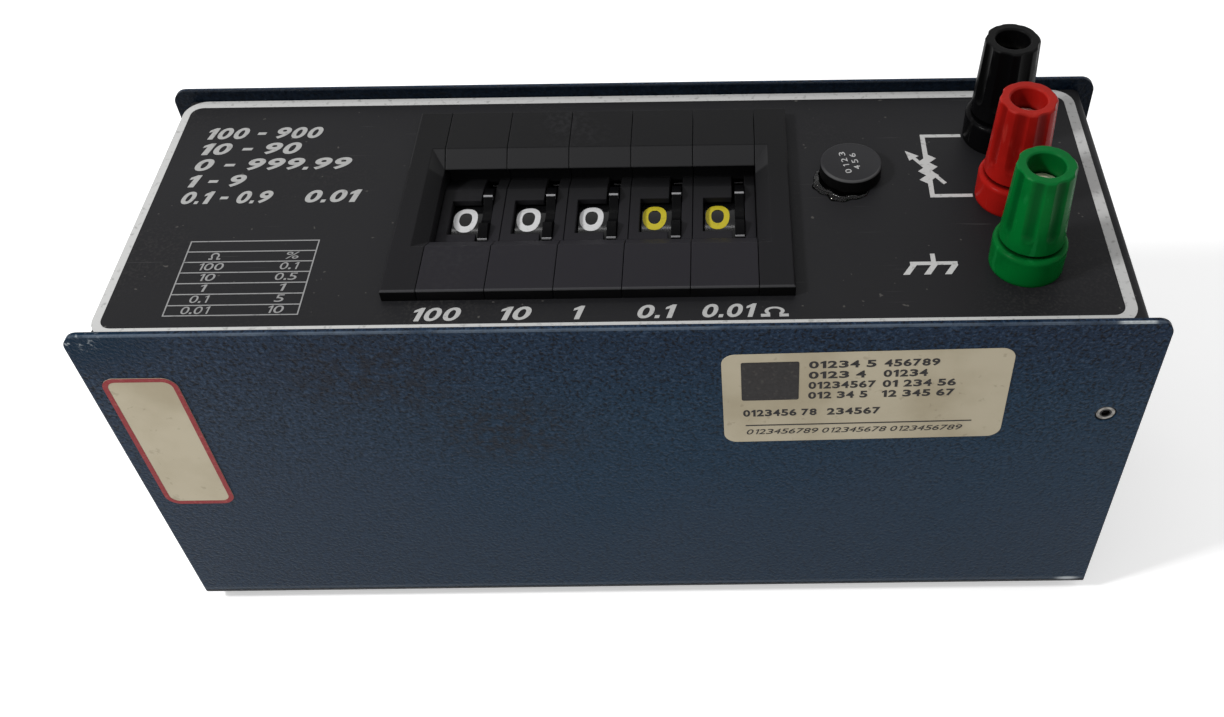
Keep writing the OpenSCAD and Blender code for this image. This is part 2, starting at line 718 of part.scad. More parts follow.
module bank_nuts() color(steel) cheek_stud_places()
    translate([0, 0, -bezel_h - panel_t - small_nut_h]) rotate(30)
        hexagon_nut(small_nut_af, small_nut_h, cheek_stud_d + 2 * thread_gap);

// Binding post: fixed collar and stud, screw cap with a threaded insert

module collar(i) color(POST_COLOURS[i]) at_post(i) difference() {
    union() {
        round_top(collar_d, collar_h, collar_round);
        translate([0, 0, -panel_t]) cylinder(h = panel_t + e, d = spigot_d);
    }
    translate([0, 0, -panel_t - e]) cylinder(h = panel_t + collar_h + 2 * e, d = tail_d + 2 * tail_gap);
}

function tail_len(i) = i < INSULATED_POSTS ? insulated_tail : case_tail;

module stud(i) color(brass) at_post(i) difference() {
    union() {
        translate([0, 0, -tail_len(i)]) cylinder(h = tail_len(i) + collar_h + e, d = tail_d);
        translate([0, 0, collar_h]) cylinder(h = stud_top - collar_h, d = stud_d);
    }
    translate([0, 0, stud_top - socket_depth]) cylinder(h = socket_depth + e, d = socket_d);
    translate([-stud_d, 0, collar_h + cross_hole_rise]) rod_x(2 * stud_d, cross_hole_d);
}

module insert(i) color(brass) at_post(i) translate([0, 0, insert_z + thread_gap]) difference() {
    cylinder(h = insert_h - 2 * thread_gap, d = insert_d);
    translate([0, 0, -e]) cylinder(h = insert_h + 2 * e, d = stud_d + 2 * thread_gap);
}

module flute() rotate([0, -cap_taper, 0]) {
    cylinder(h = cap_h, r = flute_r);
    sphere(flute_r);
}

module cap(i) color(POST_COLOURS[i]) at_post(i) difference() {
    translate([0, 0, cap_z]) rotate_extrude() polygon([
        [0, 0], [cap_d / 2, 0], [cap_top_d / 2, cap_h - cap_edge],
        [cap_top_d / 2 - cap_edge, cap_h], [0, cap_h]
    ]);
    translate([0, 0, cap_z - e]) cylinder(h = cap_h + 2 * e, d = cap_bore_d);
    translate([0, 0, cap_top - cap_edge])
        cylinder(h = 2 * cap_edge, d1 = cap_bore_d, d2 = cap_bore_d + 4 * cap_edge);
    translate([0, 0, insert_z]) cylinder(h = insert_h, d = insert_d + 2 * thread_gap);
    for (k = [0 : flutes - 1]) rotate((k + 0.5) * 360 / flutes)
        translate([cap_d / 2 + flute_r - flute_depth, 0, cap_z + flute_start]) flute();
}

// Under the panel: bushes, nuts and solder tags

module rear_bushes() color(panel_black) for (i = [0 : INSULATED_POSTS - 1]) at_post(i)
    translate([0, 0, -panel_t - bush_h]) difference() {
        cylinder(h = bush_h, d = bush_d);
        translate([0, 0, -e]) cylinder(h = bush_h + 2 * e, d = tail_d + 2 * tail_gap);
    }

module stud_nut_at(z) translate([0, 0, z]) hexagon_nut(stud_nut_af, stud_nut_h, tail_d + 2 * tail_gap);

module stud_nuts() color(brass) for (i = [0 : len(POSTS) - 1]) at_post(i)
    if (i < INSULATED_POSTS) {
        stud_nut_at(-panel_t - bush_h - stud_nut_h);
        stud_nut_at(-wire_drop - stud_nut_h);
    } else {
        stud_nut_at(-panel_t - stud_nut_h);
    }

module solder_tags() color(tinned) for (i = [0 : INSULATED_POSTS - 1]) at_post(i)
    translate([0, 0, -wire_drop]) difference() {
        union() {
            cylinder(h = tag_t, d = tag_ring_d);
            translate([-tag_reach, -tag_tongue_w / 2, 0]) cube([tag_reach, tag_tongue_w, tag_t]);
        }
        translate([0, 0, -e]) cylinder(h = tag_t + 2 * e, d = tail_d + 2 * tail_gap);
    }

// Wires: round tubes swept along smooth curves through points chosen by hand

function spline(a, b, c, d, t) = 0.5 * (2 * b + (c - a) * t + (2 * a - 5 * b + 4 * c - d) * t * t
    + (3 * b - a - 3 * c + d) * t * t * t);
function smooth(p, steps) = [
    for (k = [0 : len(p) - 2], s = [0 : steps - 1])
        spline(p[max(k - 1, 0)], p[k], p[k + 1], p[min(k + 2, len(p) - 1)], s / steps),
    p[len(p) - 1]
];
function unit(v) = v / norm(v);
function heading(p, k) = k == 0 || k == len(p) - 1
    ? unit(k == 0 ? p[1] - p[0] : p[k] - p[k - 1])
    : unit(p[k + 1] - p[k - 1]);

module tube(path, d, sides, start, finish, up) {
    n = len(path);
    points = [
        for (k = [0 : n - 1])
            let (
                t = k == 0 ? start : k == n - 1 ? finish : heading(path, k),
                u = unit(cross(t, up)),
                v = cross(t, u)
            )
            for (s = [0 : sides - 1])
                path[k] + d / 2 * (u * cos(s * 360 / sides) + v * sin(s * 360 / sides))
    ];
    sleeve = [
        for (k = [0 : n - 2], s = [0 : sides - 1])
            let (a = k * sides + s, b = k * sides + (s + 1) % sides)
            each [[a, b, b + sides], [a, b + sides, a + sides]]
    ];
    polyhedron(points, concat(
        sleeve,
        [[for (s = [0 : sides - 1]) sides - 1 - s]],
        [[for (s = [0 : sides - 1]) (n - 1) * sides + s]]
    ));
}

wire_sides = 8;
wire_steps = 4;
wire_lead = 8;
pad_lead = 5;
tag_tip_x = post_x - tag_reach + wire_d;
tag_under = z_panel - wire_drop;
first_board_face = module_left(0) + board_x;
last_board_face = module_left(module_count - 1) + module_w;
black_pad = [first_board_face, bank_y + board_half - 2, free_bottom + 8];
red_pad = [last_board_face, 0, free_bottom + 16];
black_start = [tag_tip_x, post_y(0), tag_under];
red_start = [tag_tip_x, post_y(1), tag_under];
black_route = [
    black_start, black_start - [0, 0, wire_lead], black_start + [-8, 7, -19], black_start + [-16, 9, -39],
    [30, 29, 28], [0, 29, 24], [-30, 29, 22], [-42, 26, 21],
    black_pad - [pad_lead, 0, 0], black_pad
];
red_route = [
    red_start, red_start - [0, 0, wire_lead], red_start + [-6, 4, -23], red_start + [-12, 3, -41],
    [44, 2, 31], red_pad + [pad_lead, 0, 0], red_pad
];

module hookup_wires() {
    color(POST_COLOURS[0])
        tube(smooth(black_route, wire_steps), wire_d, wire_sides, [0, 0, -1], [1, 0, 0], [0.3, 1, 0.2]);
    color(POST_COLOURS[1])
        tube(smooth(red_route, wire_steps), wire_d, wire_sides, [0, 0, -1], [-1, 0, 0], [0, 1, 0]);
}

module link_wires() color(tinned) for (i = [0 : module_count - 2])
    translate([module_left(i) + module_w, link_y, link_z]) rod_x(seam + board_x, link_d);

module disc_tag() color(panel_black)
    translate([disc_x, disc_y, z_panel]) round_top(disc_d, disc_t, disc_round);

case_wrap();
panel_chassis();
rubber_feet();
case_screws();
case_nuts();
for (i = [0 : module_count - 1]) {
    housing(i);
    wheel(i);
    wiper(i);
    board(i);
    resistors(i);
    detent_spring(i);
}
left_end_cheek();
right_end_cheek();
tie_rods();
tie_rod_nuts();
bank_nuts();
for (i = [0 : len(POSTS) - 1]) {
    collar(i);
    stud(i);
    insert(i);
    cap(i);
}
rear_bushes();
stud_nuts();
solder_tags();
hookup_wires();
link_wires();
disc_tag();
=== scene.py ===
import json
import math

import bmesh
import bpy
from mathutils import Matrix, Vector

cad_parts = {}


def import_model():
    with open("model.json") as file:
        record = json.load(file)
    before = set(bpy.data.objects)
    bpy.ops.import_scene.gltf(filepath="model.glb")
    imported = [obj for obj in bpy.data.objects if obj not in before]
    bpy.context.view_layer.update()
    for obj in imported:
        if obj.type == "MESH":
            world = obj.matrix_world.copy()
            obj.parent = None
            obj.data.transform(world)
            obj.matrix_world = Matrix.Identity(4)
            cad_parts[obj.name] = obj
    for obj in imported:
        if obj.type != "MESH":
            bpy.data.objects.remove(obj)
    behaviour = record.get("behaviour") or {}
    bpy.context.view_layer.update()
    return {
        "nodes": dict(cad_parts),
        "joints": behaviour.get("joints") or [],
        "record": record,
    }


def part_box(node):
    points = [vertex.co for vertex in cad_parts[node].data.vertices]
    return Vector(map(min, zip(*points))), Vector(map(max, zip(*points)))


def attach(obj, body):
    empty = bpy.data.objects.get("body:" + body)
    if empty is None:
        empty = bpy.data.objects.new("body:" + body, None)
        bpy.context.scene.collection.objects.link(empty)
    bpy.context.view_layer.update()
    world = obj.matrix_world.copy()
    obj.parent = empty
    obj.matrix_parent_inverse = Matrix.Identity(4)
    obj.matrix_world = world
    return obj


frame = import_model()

# Decade resistance box: finishes, prints, labels, digits, floor, lights and camera.
# Metres, in the frame of the solids: +X along the panel, -Y front, +Z up.

MM = 0.001
DECADES = ["100", "10", "1", "0_1", "0_01"]
WHITE_DECADES = 3
POSITIONS = 10
FLUTES = 8

# Half the angle between two positions of a dial, and between two flutes of a cap
TIP_ANGLE = math.pi / POSITIONS
FLUTE_ANGLE = math.pi / FLUTES

# Sizes of the solids that the box of a node doesn't give
BORE_R = 4.2 * MM
RIM_DEPTH = 2.9 * MM
SLOPE_H = 2.5 * MM

# Faces and axes that the pieces sit on
CASE_LOW, CASE_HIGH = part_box("case_wrap")
PANEL_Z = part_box("panel_chassis")[1].z
FRONT_Y = CASE_LOW.y
WALL_TOP = CASE_HIGH.z
CASE_END = CASE_HIGH.x
JOINTS = {joint["name"]: joint for joint in frame["joints"]}
AXLE = Vector(JOINTS["dial_100_turn"]["pos_m"])
BEZEL_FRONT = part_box("left_end_cheek")[0].y
BEZEL_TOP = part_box("left_end_cheek")[1].z
BANK_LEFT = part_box("housing_100")[0].x
BANK_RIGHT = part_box("housing_0_01")[1].x
BANK_X = (BANK_LEFT + BANK_RIGHT) / 2
BANK_HALF = (BANK_RIGHT - BANK_LEFT) / 2
RIM_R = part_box("wheel_100")[1].z - AXLE.z
RIM_LOW = RIM_R - RIM_DEPTH

SCREW_LOW, SCREW_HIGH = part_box("case_screws")
SCREW_R = (SCREW_HIGH.z - SCREW_LOW.z) / 2
SCREW_X = SCREW_HIGH.x - SCREW_R
SCREW_Z = SCREW_LOW.z + SCREW_R
DISC_LOW, DISC_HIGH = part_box("disc_tag")
DISC_CENTRE = (DISC_LOW + DISC_HIGH) / 2
DISC_R = (DISC_HIGH.x - DISC_LOW.x) / 2

# Thickness of the ink and of the label film
INK_T = 0.04 * MM
LABEL_T = 0.12 * MM


def seen(red, green, blue):
    """A colour as it looks on a screen, from 0 to 255, as a linear colour."""
    linear = [((c / 255 + 0.055) / 1.055) ** 2.4 if c > 10 else c / 255 / 12.92 for c in (red, green, blue)]
    return (*linear, 1.0)


# Materials

class Graph:
    """A material under construction. Most methods add a node and return its output."""

    def __init__(self, name):
        self.material = bpy.data.materials.new(name)
        self.material.use_nodes = True
        self.tree = self.material.node_tree
        self.shader = self.tree.nodes["Principled BSDF"]
        self.place = self.add("ShaderNodeTexCoord").outputs["Object"]

    def add(self, kind, **settings):
        node = self.tree.nodes.new(kind)
        for key, value in settings.items():
            setattr(node, key, value)
        return node

    def feed(self, socket, value):
        if isinstance(value, bpy.types.NodeSocket):
            self.tree.links.new(value, socket)
        else:
            socket.default_value = value

    def stretched(self, scale):
        node = self.add("ShaderNodeMapping")
        self.feed(node.inputs["Vector"], self.place)
        node.inputs["Scale"].default_value = scale
        return node.outputs["Vector"]

    def noise(self, scale, detail=2.0, distortion=0.0, stretch=None):
        node = self.add("ShaderNodeTexNoise")
        self.feed(node.inputs["Vector"], self.stretched(stretch) if stretch else self.place)
        node.inputs["Scale"].default_value = scale
        node.inputs["Detail"].default_value = detail
        node.inputs["Distortion"].default_value = distortion
        return node.outputs["Fac"]

    def axes(self):
        node = self.add("ShaderNodeSeparateXYZ")
        self.feed(node.inputs[0], self.place)
        return node.outputs["X"], node.outputs["Y"], node.outputs["Z"]

    def near(self, centre, reach):
        """1 at a point of the object and 0 at its reach, given along each axis."""
        node = self.add("ShaderNodeMapping", vector_type="TEXTURE")
        self.feed(node.inputs["Vector"], self.place)
        node.inputs["Location"].default_value = centre
        node.inputs["Scale"].default_value = reach
        length = self.add("ShaderNodeVectorMath", operation="LENGTH")
        self.feed(length.inputs[0], node.outputs["Vector"])
        return self.ramp(length.outputs["Value"], 1.0, 0.2)

    def crevice(self, reach):
        """1 in narrow gaps and 0 on open faces."""
        node = self.add("ShaderNodeAmbientOcclusion", samples=6)
        node.inputs["Distance"].default_value = reach
        return self.ramp(node.outputs["AO"], 0.75, 0.3)

    def distance(self, first, second):
        """The length of a vector, from its two parts."""
        squares = self.math("ADD", self.times(first, first), self.times(second, second))
        return self.math("SQRT", squares)

    def times(self, first, *others):
        for other in others:
            first = self.math("MULTIPLY", first, other)
        return first

    def math(self, operation, first, second=0.0):
        node = self.add("ShaderNodeMath", operation=operation)
        self.feed(node.inputs[0], first)
        self.feed(node.inputs[1], second)
        return node.outputs[0]

    def ramp(self, value, low, high, start=0.0, end=1.0):
        node = self.add("ShaderNodeMapRange", interpolation_type="SMOOTHSTEP")
        self.feed(node.inputs["Value"], value)
        node.inputs["From Min"].default_value = low
        node.inputs["From Max"].default_value = high
        node.inputs["To Min"].default_value = start
        node.inputs["To Max"].default_value = end
        return node.outputs["Result"]

    def band(self, value, start, full, fade, end):
        """0 up to a start, 1 from full to fade, and 0 again from an end."""
        return self.times(self.ramp(value, start, full), self.ramp(value, end, fade))

    def blend(self, share, first, second):
        node = self.add("ShaderNodeMix", data_type="RGBA")
        self.feed(node.inputs[0], share)
        self.feed(node.inputs[6], first)
        self.feed(node.inputs[7], second)
        return node.outputs[2]

    def rounded(self, radius):
        node = self.add("ShaderNodeBevel", samples=6)
        node.inputs["Radius"].default_value = radius
        return node.outputs["Normal"]

    def bump(self, height, depth, under=None):
        node = self.add("ShaderNodeBump")
        self.feed(node.inputs["Height"], height)
        node.inputs["Distance"].default_value = depth
        node.inputs["Strength"].default_value = 1.0
        if under is not None:
            self.feed(node.inputs["Normal"], under)
        return node.outputs["Normal"]

    def finish(self, **sockets):
        """Sets sockets of the shader, named with underscores, and returns the material."""
        for key, value in sockets.items():
            self.feed(self.shader.inputs[key.replace("_", " ")], value)
        return self.material


# Places on the case where the paint is soiled or worn, each with its reach along the axes
FOOT = CASE_LOW.z
LEFT_CORNER = (-CASE_END, FRONT_Y, WALL_TOP)
STAINS = [
    ((-0.047, FRONT_Y, 0.079), (0.026, 0.01, 0.016)),
    ((-0.024, FRONT_Y, 0.062), (0.024, 0.01, 0.016)),
]
TEAL_REACH = (0.026, 0.02, 0.014)
FLECK_REACH = (0.01, 0.02, 0.006)
LOW_CHIP = (CASE_END - 4 * MM, FRONT_Y, FOOT + 2.9 * MM)
LOW_CHIP_REACH = (0.0036, 0.003, 0.0009)


def paint_colour(g, x, z, peel):
    """Blue with painted light: greyer to the left, darker and bluer towards the top right, and darker
    towards the bottom. It has painted shade in the pits and painted highlights on the crests.
    """
    cloud = g.noise(16, detail=3.0)
    paint = g.blend(g.ramp(cloud, 0.35, 0.7), seen(20, 46, 66), seen(31, 49, 67))
    # Painted light: greyer towards the left
    paint = g.blend(g.ramp(x, 0.02, -0.09, 0.0, 0.6), paint, seen(37, 45, 59))
    # Painted light: darker and bluer towards the top, most at the right
    upper = g.ramp(z, WALL_TOP - 26 * MM, WALL_TOP - 1 * MM, 0.0, 0.8)
    paint = g.blend(g.times(upper, g.ramp(x, -0.09, 0.08, 0.6, 1.0)), paint, seen(20, 35, 56))
    paint = g.blend(g.ramp(z, 0.05, 0.01, 0.0, 0.3), paint, seen(20, 36, 52))
    # Painted shade in the pits and painted highlights on the crests, stronger towards the top where the
    # light grazes
    grazing_light = g.ramp(z, 0.03, WALL_TOP - 4 * MM, 0.4, 1.0)
    pit_shade = g.times(g.ramp(peel, 0.5, 0.34), grazing_light)
    paint = g.blend(g.times(pit_shade, 0.9), paint, seen(5, 9, 17))
    crest_highlight = g.times(g.ramp(peel, 0.54, 0.7), grazing_light)
    return g.blend(g.times(crest_highlight, 0.38), paint, seen(66, 84, 106))


def paint_soil(g, paint, y, z):
    """Stains, painted shade on the bend at the foot with a pale line above it, and painted shade on the
    inner face of the rear wall.
    """
    stain = g.math("ADD", g.near(*STAINS[0]), g.near(*STAINS[1]))
    soil = g.times(stain, g.ramp(g.noise(520, detail=4.0, distortion=0.6), 0.4, 0.62))
    paint = g.blend(g.times(soil, 0.65), paint, seen(26, 25, 28))
    # Painted shade on the bend along the foot of the wall
    paint = g.blend(g.ramp(z, FOOT + 2.9 * MM, FOOT + 2.3 * MM, 0.0, 0.85), paint, seen(6, 8, 12))
    # A pale line just above the dark foot
    pale_line = g.band(z, FOOT + 2.6 * MM, FOOT + 3.0 * MM, FOOT + 3.3 * MM, FOOT + 3.8 * MM)
    paint = g.blend(g.times(pale_line, 0.3), paint, seen(88, 96, 106))
    rear_y = CASE_HIGH.y
    # Painted shade on the inner face of the rear wall
    inside = g.band(y, 0.0, 0.01, rear_y - 0.7 * MM, rear_y - 0.4 * MM)
    return g.blend(g.times(inside, 0.85), paint, seen(4, 10, 18))


def blue_paint():
    """Hammered paint with painted light and shade, soiled and worn in places, with a painted highlight along
    the top edge of the front wall, which is worn bare at its right end.
    """
    g = Graph("blue_hammered_paint")
    x, y, z = g.axes()
    peel = g.noise(1450, detail=2.0, distortion=0.4)
    fine = g.noise(3200, detail=2.0)
    paint = paint_soil(g, paint_colour(g, x, z, peel), y, z)
    paint = g.blend(g.near(LEFT_CORNER, TEAL_REACH), paint, seen(0, 30, 50))
    # Painted highlight along the rounded top edge of the front wall, uneven; at the right end the edge is
    # also worn to bare metal
    top_edge = g.times(
        g.ramp(z, WALL_TOP - 0.4 * MM, WALL_TOP - 0.2 * MM),
        g.ramp(y, FRONT_Y + 0.6 * MM, FRONT_Y + 0.4 * MM),
    )
    edge_highlight = g.ramp(g.noise(90, detail=4.0), 0.3, 0.6, 0.15, 0.55)
    paint = g.blend(g.times(top_edge, edge_highlight), paint, seen(104, 116, 130))
    worn_end = g.band(x, CASE_END - 11 * MM, CASE_END - 9 * MM, CASE_END - 4 * MM, CASE_END - 3 * MM)
    flecks = g.times(g.near(LEFT_CORNER, FLECK_REACH), g.ramp(g.noise(1100, detail=3.0), 0.55, 0.7))
    bare = g.math("MAXIMUM", g.times(flecks, 0.7), g.near(LOW_CHIP, LOW_CHIP_REACH))
    bare = g.math("MAXIMUM", bare, g.times(top_edge, worn_end))
    return g.finish(
        Base_Color=g.blend(bare, paint, seen(158, 164, 168)),
        Metallic=g.times(bare, 0.6),
        Roughness=g.ramp(peel, 0.3, 0.8, 0.3, 0.44),
        Specular_IOR_Level=0.06,
        Normal=g.bump(g.math("ADD", g.times(fine, 0.2), peel), 0.2 * MM, under=g.rounded(0.5 * MM)),
    )


def black_panel():
    """Satin paint with dust, pale specks and faint scratches."""
    g = Graph("black_satin_panel")
    speckle = g.noise(1900, detail=3.0)
    cloud = g.noise(22, detail=4.0)
    dust = g.times(g.ramp(cloud, 0.45, 0.75), g.ramp(speckle, 0.45, 0.7))
    paint = g.blend(dust, seen(27, 27, 29), seen(44, 43, 43))
    specks = g.ramp(g.noise(700, detail=1.0), 0.76, 0.79)
    paint = g.blend(g.times(specks, 0.4), paint, seen(104, 102, 98))
    scratch = g.ramp(g.noise(160, detail=2.0, stretch=(0.3, 9.0, 1.0)), 0.7, 0.76)
    paint = g.blend(g.times(scratch, 0.12), paint, seen(110, 110, 110))
    return g.finish(
        Base_Color=paint,
        Roughness=g.ramp(cloud, 0.3, 0.7, 0.48, 0.62),
        Specular_IOR_Level=0.1,
        Normal=g.bump(speckle, 0.02 * MM, under=g.rounded(0.3 * MM)),
    )


def black_moulding():
    """Grained plastic of the bezel with darker ends. Painted light makes it lighter towards the front and on
    the rear slope; it has painted shade on the front face and a painted highlight along its top edge.
    """
    g = Graph("black_moulding")
    x, y, z = g.axes()
    grain = g.noise(2600, detail=2.0)
    cloud = g.noise(45, detail=3.0)
    rub = g.times(g.ramp(cloud, 0.5, 0.75), g.ramp(g.noise(900, detail=4.0), 0.4, 0.7))
    # Painted light: lighter towards the front of the bezel
    plastic = g.blend(g.ramp(y, 0.014, -0.016), seen(22, 22, 23), seen(34, 33, 37))
    plastic = g.blend(g.times(rub, 0.5), plastic, seen(46, 46, 48))
    off_middle = g.math("ABSOLUTE", g.math("SUBTRACT", x, BANK_X))
    ends = g.ramp(off_middle, BANK_HALF - 0.1 * MM, BANK_HALF + 0.1 * MM)
    plastic = g.blend(g.times(ends, 0.7), plastic, seen(19, 19, 20))
    slope_low = BEZEL_TOP - SLOPE_H
    slope = g.band(z, slope_low - 0.2 * MM, slope_low, BEZEL_TOP - 0.15 * MM, BEZEL_TOP - 0.05 * MM)
    # Painted light on the rear slope
    rear_slope_light = g.times(slope, g.ramp(y, AXLE.y + 8 * MM, AXLE.y + 9 * MM))
    plastic = g.blend(g.times(rear_slope_light, 0.8), plastic, seen(44, 44, 45))
    # Painted shade on the front face of the bezel
    face = g.ramp(y, BEZEL_FRONT + 0.3 * MM, BEZEL_FRONT + 0.1 * MM)
    plastic = g.blend(g.times(face, 0.9), plastic, seen(8, 8, 8))
    # Painted highlight along the front top edge of the bezel
    front_edge_highlight = g.times(
        g.ramp(y, BEZEL_FRONT + 0.5 * MM, BEZEL_FRONT + 0.3 * MM),
        g.ramp(z, BEZEL_TOP - 0.35 * MM, BEZEL_TOP - 0.2 * MM),
    )
    return g.finish(
        Base_Color=g.blend(g.times(front_edge_highlight, 0.45), plastic, seen(84, 84, 86)),
        Roughness=g.ramp(cloud, 0.3, 0.7, 0.42, 0.54),
        Specular_IOR_Level=0.06,
        Normal=g.bump(grain, 0.015 * MM, under=g.rounded(0.35 * MM)),
    )


# Painted glint along the front edge of each tip of a rim, in shares of the angle between two tips
GLINT_START, GLINT_END, GLINT_SOFT = 0.332, 0.362, 0.008


def wheel_moulding():
    """Dark plastic with painted shade on the finger rim and a painted glint along the front edge of each of
    its tips.
    """
    g = Graph("black_wheel")
    cloud = g.noise(300, detail=3.0)
    plastic = g.blend(g.ramp(cloud, 0.4, 0.7), seen(14, 14, 15), seen(21, 21, 22))
    _, y, z = g.axes()
    across = g.math("SUBTRACT", y, AXLE.y)
    up = g.math("SUBTRACT", z, AXLE.z)
    radius = g.distance(across, up)
    # Painted shade over the finger rim
    rim = (RIM_LOW, RIM_LOW + 0.6 * MM)
    plastic = g.blend(g.ramp(radius, *rim), plastic, seen(5, 5, 6))
    share = g.math("FRACT", g.math("DIVIDE", g.math("ARCTAN2", across, up), 2 * TIP_ANGLE))
    # Painted glint along the front edge of each tip
    edge = g.band(share, GLINT_START, GLINT_START + GLINT_SOFT, GLINT_END - GLINT_SOFT, GLINT_END)
    edge = g.times(edge, g.ramp(radius, RIM_R - 0.7 * MM, RIM_R - 0.4 * MM))
    return g.finish(
        Base_Color=g.blend(g.times(edge, 0.9), plastic, seen(162, 162, 164)),
        Roughness=g.ramp(radius, *rim, 0.1, 0.35),
        Specular_IOR_Level=g.ramp(radius, *rim, 0.22, 0.04),
        Normal=g.bump(g.noise(1400), 0.006 * MM, under=g.rounded(0.2 * MM)),
    )


def post_plastic(post, main, deep, worn):
    """Moulded plastic, scuffed, with painted shade in the flutes of the cap and in narrow gaps, and a
    painted sheen on its upper face.
    """
    g = Graph(f"{post}_post")
    x, y, z = g.axes()
    low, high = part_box(f"cap_{post}")
    east = g.math("SUBTRACT", x, (low.x + high.x) / 2)
    north = g.math("SUBTRACT", y, (low.y + high.y) / 2)
    ridge = g.math("PINGPONG", g.math("ARCTAN2", north, east), FLUTE_ANGLE)
    outside = g.ramp(g.distance(east, north), BORE_R, BORE_R + 0.4 * MM)
    sides = g.band(z, low.z + 1.5 * MM, low.z + 4 * MM, high.z - 0.6 * MM, high.z - 0.3 * MM)
    flute_shade = g.times(g.ramp(ridge, 0.35 * FLUTE_ANGLE, 0.85 * FLUTE_ANGLE), outside, sides)
    cloud = g.noise(130, detail=3.0)
    plastic = g.blend(g.ramp(cloud, 0.35, 0.7, 0.0, 0.35), main, deep)
    scuff = g.ramp(g.noise(520, detail=5.0, stretch=(1.0, 1.0, 0.25)), 0.62, 0.7)
    plastic = g.blend(g.times(scuff, 0.35), plastic, worn)
    # Painted shade in the flutes
    plastic = g.blend(g.times(flute_shade, 0.6), plastic, deep)
    # Painted sheen on the upper face, in the worn tone
    plastic = g.blend(g.ramp(z, high.z - 0.6 * MM, high.z - 0.1 * MM, 0.0, 0.35), plastic, worn)
    # Painted shade in narrow gaps, such as between the cap and its collar
    return g.finish(
        Base_Color=g.blend(g.times(g.crevice(1.6 * MM), 0.9), plastic, seen(3, 3, 3)),
        Roughness=g.math("ADD", g.ramp(cloud, 0.3, 0.7, 0.24, 0.34), g.times(scuff, 0.2)),
        Specular_IOR_Level=0.03,
        Normal=g.bump(g.noise(700, detail=2.0), 0.02 * MM, under=g.rounded(0.35 * MM)),
    )


def metal(name, bright, dull, roughness, edge=0.15 * MM):
    """Plated or bare metal with fine lines and tarnish."""
    g = Graph(name)
    tarnish = g.noise(240, detail=4.0)
    lines = g.noise(1200, detail=2.0, stretch=(1.0, 1.0, 6.0))
    return g.finish(
        Base_Color=g.blend(g.ramp(tarnish, 0.4, 0.7), bright, dull),
        Metallic=1.0,
        Roughness=g.ramp(lines, 0.3, 0.7, roughness, roughness + 0.15),
        Normal=g.bump(lines, 0.006 * MM, under=g.rounded(edge)),
    )


def screw_steel():
    """Steel, darker in and round the socket, with painted shade round the edge of the head."""
    g = Graph("screw_steel")
    x, _, z = g.axes()
    along = g.math("SUBTRACT", g.math("ABSOLUTE", x), SCREW_X)
    radius = g.distance(along, g.math("SUBTRACT", z, SCREW_Z))
    wear = g.noise(900, detail=3.0)
    uneven = g.math("ADD", radius, g.times(wear, 0.5 * MM))
    colour = g.blend(g.ramp(wear, 0.35, 0.65), seen(150, 147, 142), seen(104, 101, 97))
    # Darker in and round the socket
    colour = g.blend(g.ramp(uneven, 1.55 * MM, 1.3 * MM), colour, seen(12, 10, 9))
    # Painted shade round the edge of the head
    colour = g.blend(g.ramp(radius, SCREW_R - 0.35 * MM, SCREW_R - 0.2 * MM), colour, seen(12, 12, 13))
    return g.finish(
        Base_Color=colour,
        Metallic=0.7,
        Roughness=g.ramp(wear, 0.3, 0.7, 0.35, 0.5),
        Normal=g.bump(wear, 0.02 * MM, under=g.rounded(0.3 * MM)),
    )


def disc_plastic():
    """Black side, a top painted lighter towards the right and rear as the light falls, and a pale line along
    its front edge.
    """
    g = Graph("black_disc")
    x, y, z = g.axes()
    east = g.math("SUBTRACT", x, DISC_CENTRE.x)
    north = g.math("SUBTRACT", y, DISC_CENTRE.y)
    fine = g.noise(1500, detail=3.0)
    # Painted light across the top, lighter towards the right and rear
    lit_slant = g.math("ADD", east, north)
    plastic = g.blend(g.ramp(lit_slant, -DISC_R, DISC_R), seen(38, 38, 40), seen(44, 44, 46))
    edge = (DISC_HIGH.z - 0.45 * MM, DISC_HIGH.z - 0.25 * MM)
    plastic = g.blend(g.ramp(z, edge[1], edge[0]), plastic, seen(7, 7, 7))
    rim = g.ramp(g.distance(east, north), DISC_R - 0.55 * MM, DISC_R - 0.35 * MM)
    # A pale line along the front edge of the top
    line = g.times(g.ramp(z, *edge), rim, g.ramp(north, 0.0, -0.7 * DISC_R))
    return g.finish(
        Base_Color=g.blend(g.times(line, 0.4), plastic, seen(104, 104, 104)),
        Roughness=g.ramp(fine, 0.3, 0.7, 0.4, 0.52),
        Specular_IOR_Level=0.08,
        Normal=g.bump(fine, 0.015 * MM, under=g.rounded(0.3 * MM)),
    )


def dull_plastic(name, main, other, grain=1500, roughness=0.6):
    """Rubber, laminate or other dull material with a fine grain."""
    g = Graph(name)
    fine = g.noise(grain, detail=3.0)
    return g.finish(
        Base_Color=g.blend(g.ramp(g.noise(60, detail=4.0), 0.35, 0.7), main, other),
        Roughness=g.ramp(fine, 0.3, 0.7, roughness - 0.08, roughness + 0.08),
        Specular_IOR_Level=0.12,
        Normal=g.bump(fine, 0.02 * MM),
    )


# Rings on the resistors, and the line between the wires at the rear and in the middle
RING_PITCH = 1.1 * MM
REAR_WIRE_Y = 12 * MM


def resistor_lacquer():
    """Tan lacquer with brown rings."""
    g = Graph("resistor_lacquer")
    z = g.axes()[2]
    ring = g.math("PINGPONG", z, RING_PITCH)
    colour = g.blend(g.ramp(ring, 0.75 * MM, 0.8 * MM), seen(186, 158, 112), seen(104, 56, 34))
    return g.finish(
        Base_Color=colour,
        Roughness=g.ramp(g.noise(900), 0.3, 0.7, 0.25, 0.4),
        Normal=g.bump(g.noise(1500), 0.01 * MM),
    )


